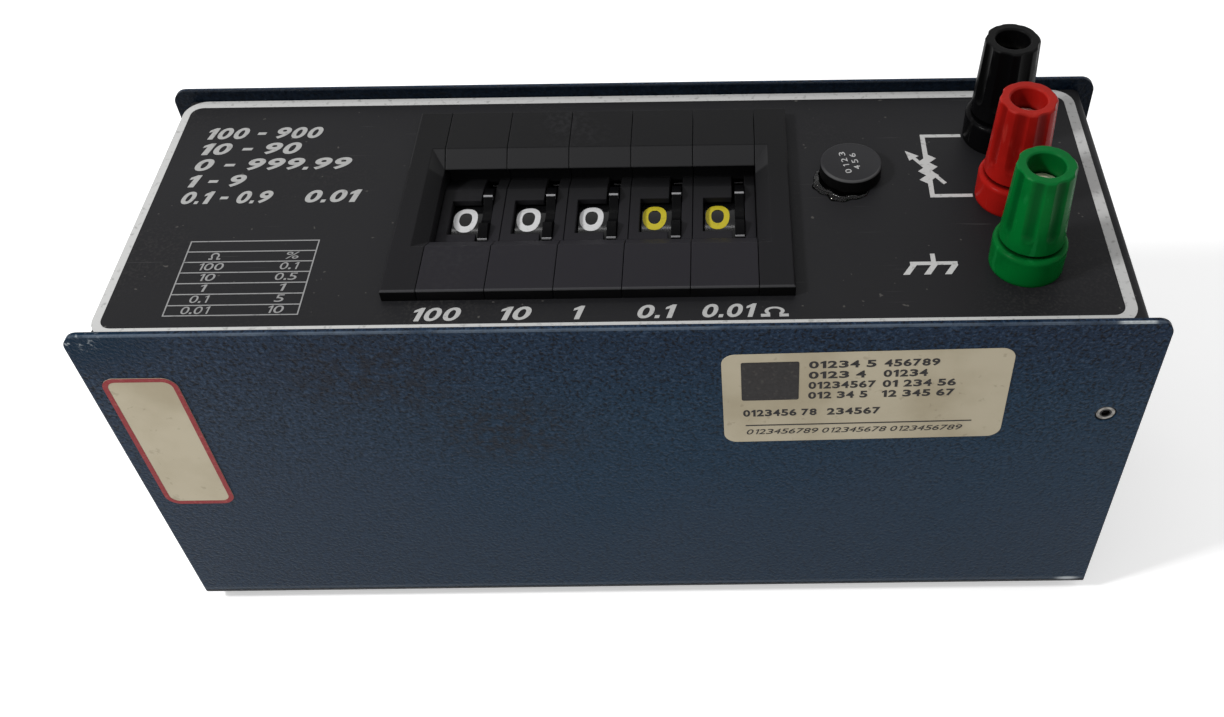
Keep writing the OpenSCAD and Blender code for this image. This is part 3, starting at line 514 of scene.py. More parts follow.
def wire_insulation():
    """The wire of the black post runs at the rear, and the wire of the red post in the middle."""
    g = Graph("wire_insulation")
    rear = g.ramp(g.axes()[1], REAR_WIRE_Y - 0.1 * MM, REAR_WIRE_Y + 0.1 * MM)
    return g.finish(
        Base_Color=g.blend(rear, seen(140, 22, 20), seen(24, 24, 25)),
        Roughness=g.ramp(g.noise(800), 0.3, 0.7, 0.4, 0.52),
        Normal=g.bump(g.noise(1800), 0.01 * MM),
    )


def ink(name, main, worn):
    """Screen printed ink with faint wear."""
    g = Graph(name)
    wear = g.ramp(g.noise(900, detail=5.0), 0.55, 0.72)
    return g.finish(
        Base_Color=g.blend(g.times(wear, 0.6), main, worn),
        Roughness=g.ramp(g.noise(1700), 0.3, 0.7, 0.5, 0.62),
        Specular_IOR_Level=0.25,
        Normal=g.bump(g.noise(2200), 0.006 * MM),
    )


def label_paper():
    """Yellowed film with specks of dirt."""
    g = Graph("cream_label_film")
    cloud = g.noise(60, detail=4.0)
    film = g.blend(g.ramp(cloud, 0.35, 0.7), seen(184, 174, 151), seen(167, 156, 132))
    dirt = g.ramp(g.noise(500, detail=5.0), 0.64, 0.72)
    return g.finish(
        Base_Color=g.blend(g.times(dirt, 0.3), film, seen(120, 108, 88)),
        Roughness=g.ramp(cloud, 0.3, 0.7, 0.42, 0.55),
        Specular_IOR_Level=0.15,
        Normal=g.bump(g.noise(500, detail=2.0), 0.03 * MM),
    )


def clear_glue():
    """Clear glue, uneven and a little cloudy."""
    g = Graph("clear_glue")
    cloud = g.noise(500, detail=3.0)
    return g.finish(
        Base_Color=g.blend(g.ramp(cloud, 0.4, 0.7), seen(236, 236, 232), seen(205, 205, 198)),
        Roughness=0.03,
        IOR=1.3,
        Transmission_Weight=1.0,
        Normal=g.bump(g.noise(330, detail=1.0), 0.06 * MM),
    )


MATERIALS = {
    "case_paint": blue_paint(),
    "panel_paint": black_panel(),
    "moulding": black_moulding(),
    "wheel_moulding": wheel_moulding(),
    # The last colour of each post is the tone of its scuffs and of the painted sheen on its upper face
    "black_plastic": post_plastic("black", seen(8, 8, 9), seen(4, 4, 4), seen(36, 36, 36)),
    "red_plastic": post_plastic("red", seen(158, 24, 19), seen(92, 8, 6), seen(170, 54, 46)),
    "green_plastic": post_plastic("green", seen(3, 98, 39), seen(0, 46, 18), seen(26, 118, 60)),
    "disc_plastic": disc_plastic(),
    "rubber": dull_plastic("black_rubber", seen(26, 26, 26), seen(38, 38, 38), roughness=0.8),
    "steel": metal("zinc_steel", seen(178, 178, 176), seen(120, 118, 114), 0.3),
    "brass": metal("brass", seen(206, 170, 96), seen(150, 118, 62), 0.28),
    "plated_brass": metal("plated_brass", seen(253, 249, 236), seen(240, 230, 204), 0.42, edge=0.45 * MM),
    "tinned": metal("tinned", seen(196, 198, 198), seen(150, 152, 152), 0.35),
    "board": dull_plastic("board_laminate", seen(46, 92, 54), seen(60, 104, 62), grain=2200, roughness=0.45),
    "resistor_body": resistor_lacquer(),
    "resistance_wire": metal("resistance_wire", seen(176, 134, 104), seen(120, 88, 68), 0.35),
    "wire_insulation": wire_insulation(),
}
PANEL_INK = ink("white_panel_ink", seen(190, 190, 189), seen(132, 132, 130))
LEGEND_INK = ink("grey_legend_ink", seen(174, 174, 173), seen(126, 126, 124))
TITLE_INK = ink("grey_title_ink", seen(162, 162, 161), seen(122, 122, 120))
TABLE_INK = ink("grey_table_ink", seen(140, 140, 140), seen(98, 98, 98))
WHITE_INK = ink("white_digit_ink", seen(200, 200, 201), seen(168, 168, 168))
YELLOW_INK = ink("yellow_digit_ink", seen(184, 170, 36), seen(150, 138, 34))
DARK_INK = ink("dark_label_ink", seen(27, 24, 24), seen(62, 58, 54))
RED_INK = ink("red_label_ink", seen(132, 38, 42), seen(160, 84, 80))
GREY_INK = ink("grey_disc_ink", seen(182, 182, 182), seen(120, 120, 120))
SCREW_STEEL = screw_steel()
LABEL_FILM = label_paper()
GLUE = clear_glue()

for part in frame["record"]["subparts"]:
    slots = frame["nodes"][part["node"]].data.materials
    slots.clear()
    slots.append(SCREW_STEEL if part["node"] == "case_screws" else MATERIALS[part["material_slot"]])


# Building blocks of the prints and labels

def piece(name, mesh, material, body):
    """A finished mesh as an object that rides on a body."""
    mesh.name = name
    obj = bpy.data.objects.new(name, mesh)
    bpy.context.scene.collection.objects.link(obj)
    mesh.materials.clear()
    mesh.materials.append(material)
    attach(obj, body)


def mesh_of(curve):
    """The closed mesh of a filled curve or a line of text, with its height from 0 to 1."""
    curve.extrude = 0.5
    obj = bpy.data.objects.new("outline", curve)
    bpy.context.scene.collection.objects.link(obj)
    bpy.context.view_layer.update()
    evaluated = obj.evaluated_get(bpy.context.evaluated_depsgraph_get())
    mesh = bpy.data.meshes.new_from_object(evaluated)
    bpy.data.objects.remove(obj)
    bpy.data.curves.remove(curve)
    bm = bmesh.new()
    bm.from_mesh(mesh)
    bmesh.ops.remove_doubles(bm, verts=bm.verts, dist=1e-6)
    bmesh.ops.translate(bm, verts=bm.verts, vec=(0, 0, 0.5))
    bm.to_mesh(mesh)
    bm.free()
    return mesh


def flat(loops, thickness):
    """A thin solid of one outline, or of an outline and the holes in it."""
    curve = bpy.data.curves.new("loops", "CURVE")
    curve.dimensions = "2D"
    curve.fill_mode = "BOTH"
    for loop in loops:
        spline = curve.splines.new("POLY")
        spline.points.add(len(loop) - 1)
        spline.use_cyclic_u = True
        for point, (x, y) in zip(spline.points, loop):
            point.co = (x, y, 0, 1)
    mesh = mesh_of(curve)
    mesh.transform(Matrix.Diagonal((1, 1, thickness, 1)))
    return mesh


def square_box(x0, y0, x1, y1):
    """The outline of a plain rectangle."""
    return [(x0, y0), (x1, y0), (x1, y1), (x0, y1)]


def rounded_box(x0, y0, x1, y1, radius, steps=8):
    """The outline of a rectangle with rounded corners."""
    left, right = x0 + radius, x1 - radius
    low, high = y0 + radius, y1 - radius
    corners = [(right, high), (left, high), (left, low), (right, low)]
    return [
        (cx + radius * math.cos(a), cy + radius * math.sin(a))
        for quarter, (cx, cy) in enumerate(corners)
        for a in [(quarter + k / steps) * math.pi / 2 for k in range(steps + 1)]
    ]


def join(meshes):
    """Several meshes as one."""
    bm = bmesh.new()
    for mesh in meshes:
        bm.from_mesh(mesh)
        bpy.data.meshes.remove(mesh)
    joined = bpy.data.meshes.new("joined")
    bm.to_mesh(joined)
    bm.free()
    return joined


def moved(mesh, x, y):
    mesh.transform(Matrix.Translation((x, y, 0)))
    return mesh


# Digits and signs, in shares of their height
GLYPH_SHARE = {"1": 0.48, ".": 0.22, "-": 0.46, " ": 0.3, "%": 1.15}
DIGIT_SHARE = 0.78
GLYPH_GAP = 0.13
STEM, STEM_GAIN = 0.15, 4.0
DASH_MIDDLE = 0.46
FLAG_TOP, FLAG_RISE, FLAG_REACH = 0.86, 0.08, 0.21

# Half of a dash's thickness, and the flag and flat top of a 1, in shares of the stem
DASH_HALF = 0.35
FLAG_LINE = 0.85
FLAG_CUT = 0.75


def fit(mesh, width, height, thickness):
    """Scales a mesh to a size, its lower left corner at the origin."""
    low = [min(v.co[k] for v in mesh.vertices) for k in range(2)]
    high = [max(v.co[k] for v in mesh.vertices) for k in range(2)]
    mesh.transform(Matrix.Translation((-low[0], -low[1], 0)))
    mesh.transform(Matrix.Diagonal((width / (high[0] - low[0]), height / (high[1] - low[1]), thickness, 1)))
    return mesh


def digit_one(wide, stem):
    """The outline of a stem with a short flag at its upper left."""
    flag = stem * FLAG_LINE
    tip = max(wide - stem - FLAG_REACH, 0.0)
    above = [(wide, 1), (wide - FLAG_CUT * stem, 1), (tip, FLAG_TOP - flag / 4)]
    below = [(tip, FLAG_TOP - flag), (wide - stem, FLAG_TOP + FLAG_RISE - flag)]
    return [(wide - stem, 0), (wide, 0)] + above + below


def glyph(character, weight):
    """A digit or sign one unit tall, its lower left corner at the origin."""
    wide = GLYPH_SHARE.get(character, DIGIT_SHARE)
    stem = STEM + STEM_GAIN * weight
    if character == "1":
        return flat([digit_one(wide, stem)], 1.0)
    if character == "-":
        half = DASH_HALF * stem
        return flat([square_box(0, DASH_MIDDLE - half, wide, DASH_MIDDLE + half)], 1.0)
    if character == ".":
        return flat([square_box(0, 0, wide, wide)], 1.0)
    curve = bpy.data.curves.new("glyph", "FONT")
    curve.body = character
    curve.offset = weight
    curve.resolution_u = 6
    return fit(mesh_of(curve), wide, 1.0, 1.0)


def room(character):
    """The width of a character and the gap after it, in shares of its height."""
    return GLYPH_SHARE.get(character, DIGIT_SHARE) + GLYPH_GAP


def letters(text, width, height, thickness, slant=0.0, weight=0.0):
    """A line of digits and signs as a thin solid, its lower left corner at the origin."""
    line = []
    place = 0.0
    for character in text:
        if character != " ":
            line.append(moved(glyph(character, weight), place, 0))
        place += room(character)
    mesh = join(line)
    lean = Matrix.Identity(4)
    lean[0][1] = slant
    mesh.transform(lean)
    return fit(mesh, width, height, thickness)


# Prints on the panel, in millimetres along X and Y

def on_panel(name, mesh, material=PANEL_INK):
    mesh.transform(Matrix.Translation((0, 0, PANEL_Z)) @ Matrix.Diagonal((MM, MM, 1, 1)))
    piece(name, mesh, material, "root")


BORDER_LEFT, BORDER_RIGHT = -96.9, 94.9
BORDER_FRONT, BORDER_REAR = -34.6, 35.3
BORDER_W = 2.2
BORDER_LEFT_W = 1.6
BORDER_R = 4.6


def print_border():
    outer = rounded_box(BORDER_LEFT, BORDER_FRONT, BORDER_RIGHT, BORDER_REAR, BORDER_R)
    left, right = BORDER_LEFT + BORDER_LEFT_W, BORDER_RIGHT - BORDER_W
    front, rear = BORDER_FRONT + BORDER_W, BORDER_REAR - BORDER_W
    inner = rounded_box(left, front, right, rear, BORDER_R - BORDER_W)
    on_panel("border_line", flat([outer, inner], INK_T))


# Text and width of each row, and text, place and width of the number at the end of the last row
TITLE_ROWS = [
    ("100 - 900", 24.2), ("10 - 90", 20.7), ("0 - 999.99", 32.2), ("1 - 9", 11.6), ("0.1 - 0.9", 18.2),
]
LAST_RANGE = ("0.01", -64.7, 11.1)
TITLE_LEFT = -89.6
TITLE_TOP = 22.2
TITLE_PITCH = 5.13
TITLE_H = 3.77
BOLD = 0.035
SLANT = 0.24


def title_text(name, text, x, row, width):
    mesh = letters(text, width, TITLE_H, INK_T, slant=SLANT, weight=BOLD)
    on_panel(name, moved(mesh, x, TITLE_TOP - row * TITLE_PITCH), TITLE_INK)


def print_title():
    """The ranges of the box, beside the bank."""
    for row, (text, width) in enumerate(TITLE_ROWS):
        title_text(f"range_row_{row + 1}", text, TITLE_LEFT, row, width)
    text, x, width = LAST_RANGE
    title_text("range_row_end", text, x, len(TITLE_ROWS) - 1, width)


# Radius of the arc of an ohm sign as a share of its width, its steps, and half of the gap at its foot
OHM_SHARE = 0.36
OHM_STEPS = 24
OHM_GAP = math.radians(48)


def ohm_sign(width, height, stroke):
    """A capital omega as one outline, its lower left corner at the origin."""
    middle = width / 2
    outer = OHM_SHARE * width
    inner = outer - stroke
    sweep = 2 * math.pi - 2 * OHM_GAP
    arc = [OHM_GAP - math.pi / 2 + k / OHM_STEPS * sweep for k in range(OHM_STEPS + 1)]
    squeeze = (height - stroke / 2) / (2 * outer)
    centre = height - outer * squeeze
    outside = [(middle + outer * math.cos(a), centre + outer * squeeze * math.sin(a)) for a in arc]
    inside = [(middle + inner * math.cos(a), centre + inner * squeeze * math.sin(a)) for a in reversed(arc)]
    left_foot = [(outside[-1][0], stroke), (0, stroke), (0, 0), (inside[0][0], 0)]
    right_foot = [(inside[-1][0], 0), (width, 0), (width, stroke)]
    return [(outside[0][0], stroke)] + outside + left_foot + inside + right_foot


# Text, place and width of the legend of each decade
LEGENDS = [
    ("100", -37.9, 8.7), ("10", -21.8, 5.6), ("1", -8.5, 2.1), ("0.1", 3.3, 7.2), ("0.01", 15.2, 10.0),
]
LEGEND_Y = -31.6
LEGEND_H = 3.4
LEGEND_BOLD = 0.024
LEGEND_OHM_X = 25.9
LEGEND_OHM = (5.1, 2.5, 0.7)


def print_legends():
    """The step of each decade in front of it, and an ohm sign after the last."""
    for (text, x, width), decade in zip(LEGENDS, DECADES):
        mesh = letters(text, width, LEGEND_H, INK_T, slant=SLANT, weight=LEGEND_BOLD)
        on_panel(f"legend_{decade}", moved(mesh, x, LEGEND_Y), LEGEND_INK)
    sign = flat([ohm_sign(*LEGEND_OHM)], INK_T)
    on_panel("legend_ohm", moved(sign, LEGEND_OHM_X, LEGEND_Y), LEGEND_INK)


TABLE_LEFT, TABLE_RIGHT = -84.3, -59.2
TABLE_TOP = -9.3
TABLE_ROW = 2.89
TABLE_LINE = 0.25
TABLE_R = 0.05
TABLE_ROWS = [("100", "0.1"), ("10", "0.5"), ("1", "1"), ("0.1", "5"), ("0.01", "10")]
TABLE_TEXT_H = 1.9
TABLE_BASE = 0.55
TABLE_SLANT = 0.12
TABLE_OHM_W, TABLE_OHM_LINE = 2.3, 0.32
FIRST_COLUMN = -78.5
SECOND_COLUMN = -63.6


def thin_text(text, middle, base):
    width = TABLE_TEXT_H * sum(room(character) for character in text)
    return moved(letters(text, width, TABLE_TEXT_H, INK_T, slant=TABLE_SLANT), middle - width / 2, base)


def print_table():
    """Two columns of numbers under their units, in a ruled box."""
    rows = len(TABLE_ROWS) + 2
    bottom = TABLE_TOP - rows * TABLE_ROW
    left, right = TABLE_LEFT + TABLE_LINE, TABLE_RIGHT - TABLE_LINE
    loops = [rounded_box(TABLE_LEFT, bottom, TABLE_RIGHT, TABLE_TOP, TABLE_R, steps=2)]
    for row in range(rows):
        low = TABLE_TOP - (row + 1) * TABLE_ROW + (TABLE_LINE if row == rows - 1 else 0)
        high = TABLE_TOP - row * TABLE_ROW - TABLE_LINE
        loops.append(rounded_box(left, low, right, high, TABLE_R, steps=2))
    on_panel("table_lines", flat(loops, INK_T), TABLE_INK)
    marks = []
    for row, texts in enumerate(TABLE_ROWS):
        base = TABLE_TOP - (row + 3) * TABLE_ROW + TABLE_BASE
        for text, middle in zip(texts, (FIRST_COLUMN, SECOND_COLUMN)):
            marks.append(thin_text(text, middle, base))
    heading = TABLE_TOP - 2 * TABLE_ROW + TABLE_BASE
    sign = flat([ohm_sign(TABLE_OHM_W, TABLE_TEXT_H, TABLE_OHM_LINE)], INK_T)
    marks.append(moved(sign, FIRST_COLUMN - TABLE_OHM_W / 2, heading))
    marks.append(thin_text("%", SECOND_COLUMN, heading))
    on_panel("table_numbers", join(marks), TABLE_INK)


SYMBOL_X = 61.0
SYMBOL_TOP, SYMBOL_BOTTOM = 20.0, 1.1
SYMBOL_REACH = 69.0
SYMBOL_LINE = 0.95
ZIGZAG_TEETH = 3
ZIGZAG_TOP, ZIGZAG_PITCH = 12.7, 2.66
ZIGZAG_TIP, ZIGZAG_NOTCH = 2.05, 0.55
ZIGZAG_LEAD = 1.2
ARROW_TAIL, ARROW_TIP = (64.0, 4.8), (56.9, 15.2)
ARROW_HEAD, ARROW_HALF = 2.9, 1.25
ARROW_SHAFT = 0.42 * SYMBOL_LINE
ARROW_T = 1.5 * INK_T


def resistor_outline():
    """A zigzag with a line to the right at each end."""
    half = SYMBOL_LINE / 2
    left, right = SYMBOL_X - half, SYMBOL_X + half
    left_teeth, right_teeth = [], []
    for k in range(ZIGZAG_TEETH):
        tip = ZIGZAG_TOP - k * ZIGZAG_PITCH
        notch = tip - ZIGZAG_PITCH / 2
        right_teeth += [(SYMBOL_X + ZIGZAG_TIP, tip), (SYMBOL_X + ZIGZAG_NOTCH, notch)]
        left_teeth += [(SYMBOL_X - ZIGZAG_NOTCH, tip), (SYMBOL_X - ZIGZAG_TIP, notch)]
    zigzag_low = ZIGZAG_TOP - (ZIGZAG_TEETH - 0.5) * ZIGZAG_PITCH
    loop = [(left, SYMBOL_TOP + half), (SYMBOL_REACH, SYMBOL_TOP + half), (SYMBOL_REACH, SYMBOL_TOP - half)]
    loop += [(right, SYMBOL_TOP - half), (right, ZIGZAG_TOP + ZIGZAG_LEAD)]
    loop += right_teeth
    loop += [(right, SYMBOL_BOTTOM + half), (SYMBOL_REACH, SYMBOL_BOTTOM + half)]
    loop += [(SYMBOL_REACH, SYMBOL_BOTTOM - half), (left, SYMBOL_BOTTOM - half)]
    loop += [(left, zigzag_low - ZIGZAG_LEAD)]
    return loop + left_teeth[::-1]


def arrow_outline():
    tail, tip = Vector(ARROW_TAIL), Vector(ARROW_TIP)
    along = (tip - tail).normalized()
    across = Vector((-along.y, along.x))
    neck = tip - along * ARROW_HEAD
    shaft, wing = across * ARROW_SHAFT, across * ARROW_HALF
    corners = [tail - shaft, neck - shaft, neck - wing, tip, neck + wing, neck + shaft, tail + shaft]
    return [tuple(corner) for corner in corners]


def print_symbol():
    """A resistor between the two measuring posts, with an arrow across it."""
    on_panel("symbol_resistor", flat([resistor_outline()], INK_T))
    on_panel("symbol_arrow", flat([arrow_outline()], ARROW_T))


GROUND_X, GROUND_Y = 59.0, -18.2
GROUND_W, GROUND_LINE = 9.0, 0.9
GROUND_STEM = 2.6
PRONGS, PRONG_PITCH = 3, 3.9375
PRONG_W, PRONG_LEAN, PRONG_DROP = 1.25, 1.6, 3.0


def print_ground():
    """The usual sign for a connection to the case, beside the green post."""
    half = GROUND_LINE / 2
    left, right = GROUND_X - GROUND_W / 2, GROUND_X + GROUND_W / 2
    low, high, top = GROUND_Y - half, GROUND_Y + half, GROUND_Y + GROUND_STEM
    bar = [(left, low), (right, low), (right, high), (GROUND_X + half, high), (GROUND_X + half, top)]
    bar += [(GROUND_X - half, top), (GROUND_X - half, high), (left, high)]
    parts = [flat([bar], INK_T)]
    bottom = GROUND_Y - PRONG_DROP
    for k in range(PRONGS):
        x = left + k * PRONG_PITCH
        foot = x - PRONG_LEAN
        prong = [(x, low), (foot, bottom), (foot + PRONG_W, bottom), (x + PRONG_W, low)]
        parts.append(flat([prong], INK_T))
    on_panel("symbol_case", join(parts))


print_border()
print_title()
print_legends()
print_table()
print_symbol()
print_ground()


# Digits round the drums

DIGIT_W, DIGIT_H = 4.8 * MM, 7.0 * MM
ONE_W = 0.55 * DIGIT_W
DIGIT_WEIGHT = 0.02
ZERO_SIDE, ZERO_END = 1.12 * MM, 1.5 * MM
ZERO_POWER = 2.25
ZERO_STEPS = 48
DIGIT_STEP = 0.9 * MM
DIGIT_T = 0.05 * MM
WINDOW_MIDDLE = 4.9 * MM
DRUM_R = 15.8 * MM


def oval(width, height):
    """A squarish oval in the middle of a digit's place."""
    points = []
    for k in range(ZERO_STEPS):
        a = 2 * math.pi * k / ZERO_STEPS
        across = math.copysign(abs(math.cos(a)) ** (2 / ZERO_POWER), math.cos(a))
        along = math.copysign(abs(math.sin(a)) ** (2 / ZERO_POWER), math.sin(a))
        points.append((DIGIT_W / 2 + width / 2 * across, DIGIT_H / 2 + height / 2 * along))
    return points


def bent_digit(text, middle_x, turn):
    """One digit as a thin solid that lies on the drum, a turn towards the rear from its top."""
    width = ONE_W if text == "1" else DIGIT_W
    if text == "0":
        mesh = flat([oval(DIGIT_W, DIGIT_H), oval(DIGIT_W - 2 * ZERO_SIDE, DIGIT_H - 2 * ZERO_END)], DIGIT_T)
    else:
        mesh = letters(text, width, DIGIT_H, DIGIT_T, weight=DIGIT_WEIGHT)
    bm = bmesh.new()
    bm.from_mesh(mesh)
    for k in range(1, int(DIGIT_H / DIGIT_STEP) + 1):
        geometry = bm.verts[:] + bm.edges[:] + bm.faces[:]
        bmesh.ops.bisect_plane(bm, geom=geometry, plane_co=(0, k * DIGIT_STEP, 0), plane_no=(0, 1, 0))
    for v in bm.verts:
        angle = turn + (v.co.y - DIGIT_H / 2) / DRUM_R
        radius = DRUM_R + v.co.z
        x = middle_x + v.co.x - width / 2
        v.co = (x, AXLE.y + radius * math.sin(angle), AXLE.z + radius * math.cos(angle))
    bm.to_mesh(mesh)
    bm.free()
    return mesh


for number, decade in enumerate(DECADES):
    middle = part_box(f"housing_{decade}")[0].x + WINDOW_MIDDLE
    ring = join([bent_digit(str(k), middle, k * 2 * TIP_ANGLE) for k in range(POSITIONS)])
    digit_ink = WHITE_INK if number < WHITE_DECADES else YELLOW_INK
    piece(f"digits_{decade}", ring, digit_ink, f"dial_{decade}")


# Labels on the front wall, in millimetres from the lower left corner of each

UPRIGHT = Matrix.Rotation(math.pi / 2, 4, "X")


def on_front(name, mesh, place, material, lift=0.0):
    """Puts a flat mesh on the front wall: place is the label's corner along X and Z and its tilt."""
    x, z, tilt = place
    stand = Matrix.Translation((x * MM, FRONT_Y - lift, z * MM)) @ UPRIGHT
    turn = Matrix.Rotation(math.radians(tilt), 4, "Z")
    mesh.transform(stand @ turn @ Matrix.Diagonal((MM, MM, 1, 1)))
    piece(name, mesh, material, "root")


CREAM = (18.9, 57.5, 1.0)
CREAM_W, CREAM_H, CREAM_R = 54.0, 25.6, 2.6
CREAM_SQUARE = (3.6, 12.6, 14.4, 23.4)
CREAM_SQUARE_R = 0.4
CREAM_RULE = (4.2, 4.9, 48.0, 5.2)
CREAM_RULE_R = 0.1
CREAM_TEXT_H = 1.95
CREAM_WEIGHT = 0.03
CREAM_SLANT = 0.3

# Text, place and width of each row, and of the finer line under the rule with its height
CREAM_TEXT = [
    ("01234 5", 16.2, 21.4, 12.4), ("456789", 30.1, 21.4, 10.2),
    ("0123 4", 16.2, 18.5, 10.6), ("01234", 30.1, 18.5, 8.2),
    ("01234567", 16.2, 15.6, 12.6), ("01 234 56", 30.1, 15.6, 13.7),
    ("012 34 5", 16.2, 12.7, 11.2), ("12 345 67", 30.1, 12.7, 13.7),
    ("0123456 78", 3.8, 7.8, 14.1), ("234567", 19.9, 7.8, 10.2),
]
CREAM_LINE = ("0123456789 012345678 0123456789", 4.4, 2.3, 42.0, 1.5)

RED_LABEL = (-97.1, 39.2, 0.0)
RED_W, RED_H, RED_R = 14.2, 39.6, 2.8
RED_LINE = 1.0


def cream_label():
    """Rows of small figures beside a dark square, and a finer line under a rule."""
    film = flat([rounded_box(0, 0, CREAM_W, CREAM_H, CREAM_R)], LABEL_T)
    on_front("cream_label", film, CREAM, LABEL_FILM)
    square = flat([rounded_box(*CREAM_SQUARE, CREAM_SQUARE_R, steps=3)], INK_T)
    on_front("cream_label_square", square, CREAM, DARK_INK, LABEL_T)
    rows = []
    for text, x, y, width in CREAM_TEXT:
        rows.append(moved(letters(text, width, CREAM_TEXT_H, INK_T, weight=CREAM_WEIGHT), x, y))
    rows.append(flat([rounded_box(*CREAM_RULE, CREAM_RULE_R, steps=2)], INK_T))
    text, x, y, width, height = CREAM_LINE
    rows.append(moved(letters(text, width, height, INK_T, slant=CREAM_SLANT), x, y))
    on_front("cream_label_rows", join(rows), CREAM, DARK_INK, LABEL_T)


def red_label():
    """A tall label with a border."""
    outline = rounded_box(0, 0, RED_W, RED_H, RED_R)
    on_front("red_label", flat([outline], LABEL_T), RED_LABEL, LABEL_FILM)
    inner = rounded_box(RED_LINE, RED_LINE, RED_W - RED_LINE, RED_H - RED_LINE, RED_R - RED_LINE)
    on_front("red_label_border", flat([outline, inner], INK_T), RED_LABEL, RED_INK, LABEL_T)


cream_label()
red_label()


# Disc on the panel: small digits on its top and the glue squeezed out at its side

# Text and width of each row
DISC_ROWS = [("0 1 2 3", 6.6), ("4 5 6", 5.0)]
DISC_TEXT_H = 1.25
DISC_TEXT_Y, DISC_TEXT_PITCH = 0.6, 2.0
DISC_TURN = math.radians(100)

GLUE_START, GLUE_END = math.radians(168), math.radians(306)
GLUE_STEPS, GLUE_SIDES = 72, 10
GLUE_W, GLUE_H = 3.5 * MM, 0.8 * MM
GLUE_OVERLAP = 0.1 * MM
GLUE_LEAST = 0.04


def disc_digits():
    rows = []
    for row, (text, width) in enumerate(DISC_ROWS):
        y = DISC_TEXT_Y - DISC_TEXT_PITCH * row
        rows.append(moved(letters(text, width, DISC_TEXT_H, INK_T), -width / 2, y))
    mesh = join(rows)
    place = Matrix.Translation((DISC_CENTRE.x, DISC_CENTRE.y, DISC_HIGH.z))
    mesh.transform(place @ Matrix.Rotation(DISC_TURN, 4, "Z") @ Matrix.Diagonal((MM, MM, 1, 1)))
    piece("disc_digits", mesh, GREY_INK, "root")


def glue_size(share, a):
    """Width and height of the bead at a share of its length, where its angle round the disc is a."""
    swell = math.sin(math.pi * share) ** 0.8
    wide = swell * (0.86 + 0.1 * math.sin(9 * a) + 0.06 * math.sin(21 * a + 1))
    high = swell * (0.85 + 0.15 * math.sin(11 * a))
    return GLUE_W * max(wide, GLUE_LEAST), GLUE_H * max(high, GLUE_LEAST)


def glue_bead():
    """An uneven bead that lies on the panel against the side of the disc."""
    bm = bmesh.new()
    rings = []
    for k in range(GLUE_STEPS + 1):
        share = k / GLUE_STEPS
        a = GLUE_START + share * (GLUE_END - GLUE_START)
        width, height = glue_size(share, a)
        ring = []
        for s in range(GLUE_SIDES + 1):
            b = math.pi * s / GLUE_SIDES
            radius = DISC_R - GLUE_OVERLAP + width * (0.5 - 0.5 * math.cos(b))
            x, y = DISC_CENTRE.x + radius * math.cos(a), DISC_CENTRE.y + radius * math.sin(a)
            ring.append(bm.verts.new((x, y, PANEL_Z + height * math.sin(b))))
        rings.append(ring)
    for one, two in zip(rings, rings[1:]):
        for s in range(GLUE_SIDES):
            bm.faces.new((one[s], one[s + 1], two[s + 1], two[s]))
        bm.faces.new((one[-1], one[0], two[0], two[-1]))
    bm.faces.new(rings[0])
    bm.faces.new(rings[-1])
    bmesh.ops.recalc_face_normals(bm, faces=bm.faces)
    mesh = bpy.data.meshes.new("glue_bead")
    bm.to_mesh(mesh)
    bm.free()
    for face in mesh.polygons:
        face.use_smooth = True
    piece("glue_bead", mesh, GLUE, "root")


disc_digits()
glue_bead()


# Floor, light and camera

FLOOR_HALF = 3.0
FLOOR_TONES = [(0.9, 0.9, 0.9, 1), (0.93, 0.93, 0.93, 1)]
FLOOR_GLOW = 0.45
WORLD_LIGHT = 0.45
TARGET = Vector((0, 0, 0.05))


def floor():
    """A pale floor that glows to the camera and in reflections."""
    mesh = bpy.data.meshes.new("floor")
    corners = [(x, y, 0) for x, y in square_box(-FLOOR_HALF, -FLOOR_HALF, FLOOR_HALF, FLOOR_HALF)]
    mesh.from_pydata(corners, [], [(0, 1, 2, 3)])
    g = Graph("pale_floor")
    path = g.add("ShaderNodeLightPath").outputs
    reflected = g.math("MAXIMUM", path["Is Glossy Ray"], path["Is Transmission Ray"])
    glow = g.ramp(g.math("MAXIMUM", path["Is Camera Ray"], reflected), 0.0, 1.0, 0.0, FLOOR_GLOW)
    material = g.finish(
        Base_Color=g.blend(g.ramp(g.noise(3.0), 0.3, 0.7), *FLOOR_TONES),
        Roughness=0.9,
        Specular_IOR_Level=0.1,
        Emission_Color=(1, 1, 1, 1),
        Emission_Strength=glow,
    )
    mesh.materials.append(material)
    obj = bpy.data.objects.new("floor", mesh)
    bpy.context.scene.collection.objects.link(obj)


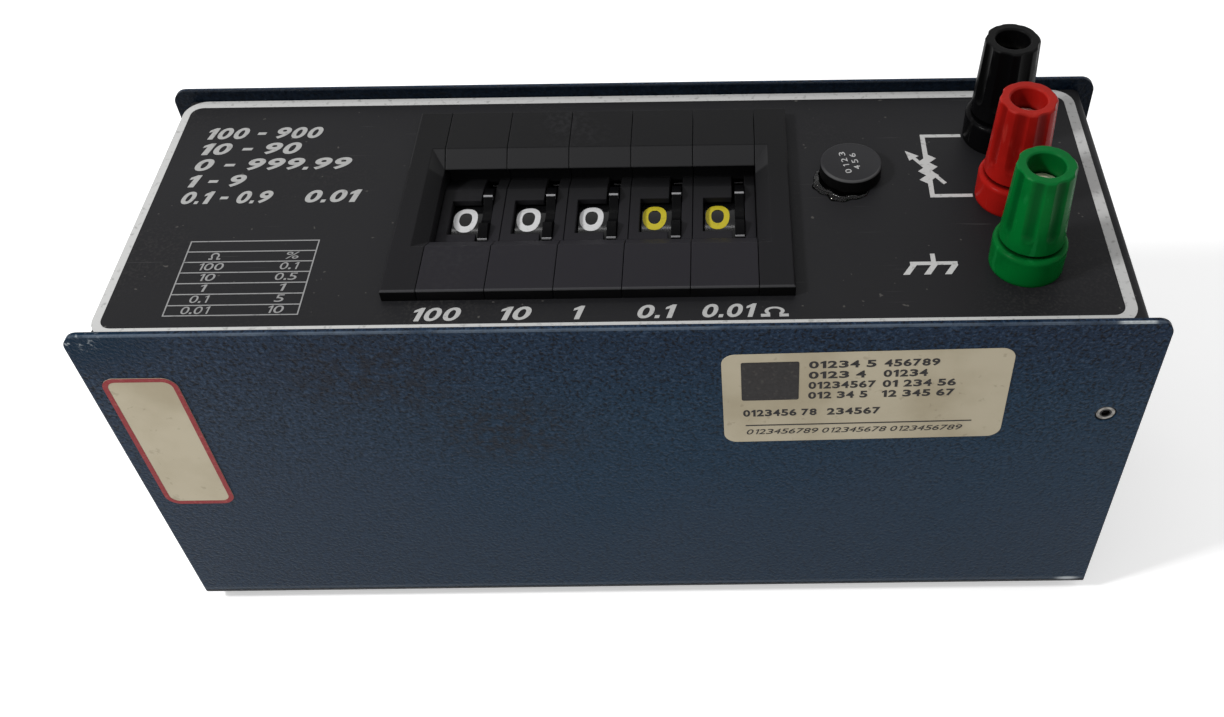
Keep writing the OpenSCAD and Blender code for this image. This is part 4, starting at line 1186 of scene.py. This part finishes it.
def world():
    """White to the camera and in reflections, and a softer fill for everything else."""
    made = bpy.data.worlds.new("studio")
    made.use_nodes = True
    tree = made.node_tree
    path = tree.nodes.new("ShaderNodeLightPath")
    seen_white = tree.nodes.new("ShaderNodeMath")
    seen_white.operation = "MAXIMUM"
    tree.links.new(path.outputs["Is Camera Ray"], seen_white.inputs[0])
    reflected = tree.nodes.new("ShaderNodeMath")
    reflected.operation = "MAXIMUM"
    tree.links.new(path.outputs["Is Glossy Ray"], reflected.inputs[0])
    tree.links.new(path.outputs["Is Transmission Ray"], reflected.inputs[1])
    tree.links.new(reflected.outputs[0], seen_white.inputs[1])
    strength = tree.nodes.new("ShaderNodeMapRange")
    tree.links.new(seen_white.outputs[0], strength.inputs["Value"])
    strength.inputs["To Min"].default_value = WORLD_LIGHT
    strength.inputs["To Max"].default_value = 1.0
    background = tree.nodes["Background"]
    background.inputs["Color"].default_value = (1, 1, 1, 1)
    tree.links.new(strength.outputs["Result"], background.inputs["Strength"])
    bpy.context.scene.world = made


def softbox(name, place, width, depth, power):
    """A rectangular lamp that faces the object."""
    data = bpy.data.lights.new(name, "AREA")
    data.shape = "RECTANGLE"
    data.size = width
    data.size_y = depth
    data.energy = power
    obj = bpy.data.objects.new(name, data)
    obj.location = place
    obj.rotation_euler = (TARGET - Vector(place)).to_track_quat("-Z", "Y").to_euler()
    bpy.context.scene.collection.objects.link(obj)


# The camera, solved from the edges of the case: pixels of the photo, millimetres, metres and degrees
PHOTO_W = 1224
FOCAL_PX = 1283
CENTRE_X = 725
SENSOR = 36
CAMERA_PLACE = (0.0200, -0.1935, 0.2572)
CAMERA_TILT = (41.842, 0.651, -0.447)


def camera():
    data = bpy.data.cameras.new("camera")
    data.sensor_width = SENSOR
    data.lens = SENSOR * FOCAL_PX / PHOTO_W
    data.shift_x = (PHOTO_W / 2 - CENTRE_X) / PHOTO_W
    data.clip_start = 10 * MM
    obj = bpy.data.objects.new("camera", data)
    obj.location = CAMERA_PLACE
    obj.rotation_euler = [math.radians(a) for a in CAMERA_TILT]
    bpy.context.scene.collection.objects.link(obj)
    bpy.context.scene.camera = obj


floor()
world()
softbox("key_light", place=(-0.455, -0.195, 0.545), width=0.09, depth=0.09, power=3.3)
softbox("rear_light", place=(0.0, 0.33, 0.75), width=0.5, depth=0.03, power=0.6)
camera()
bpy.context.scene.view_settings.view_transform = "Standard"
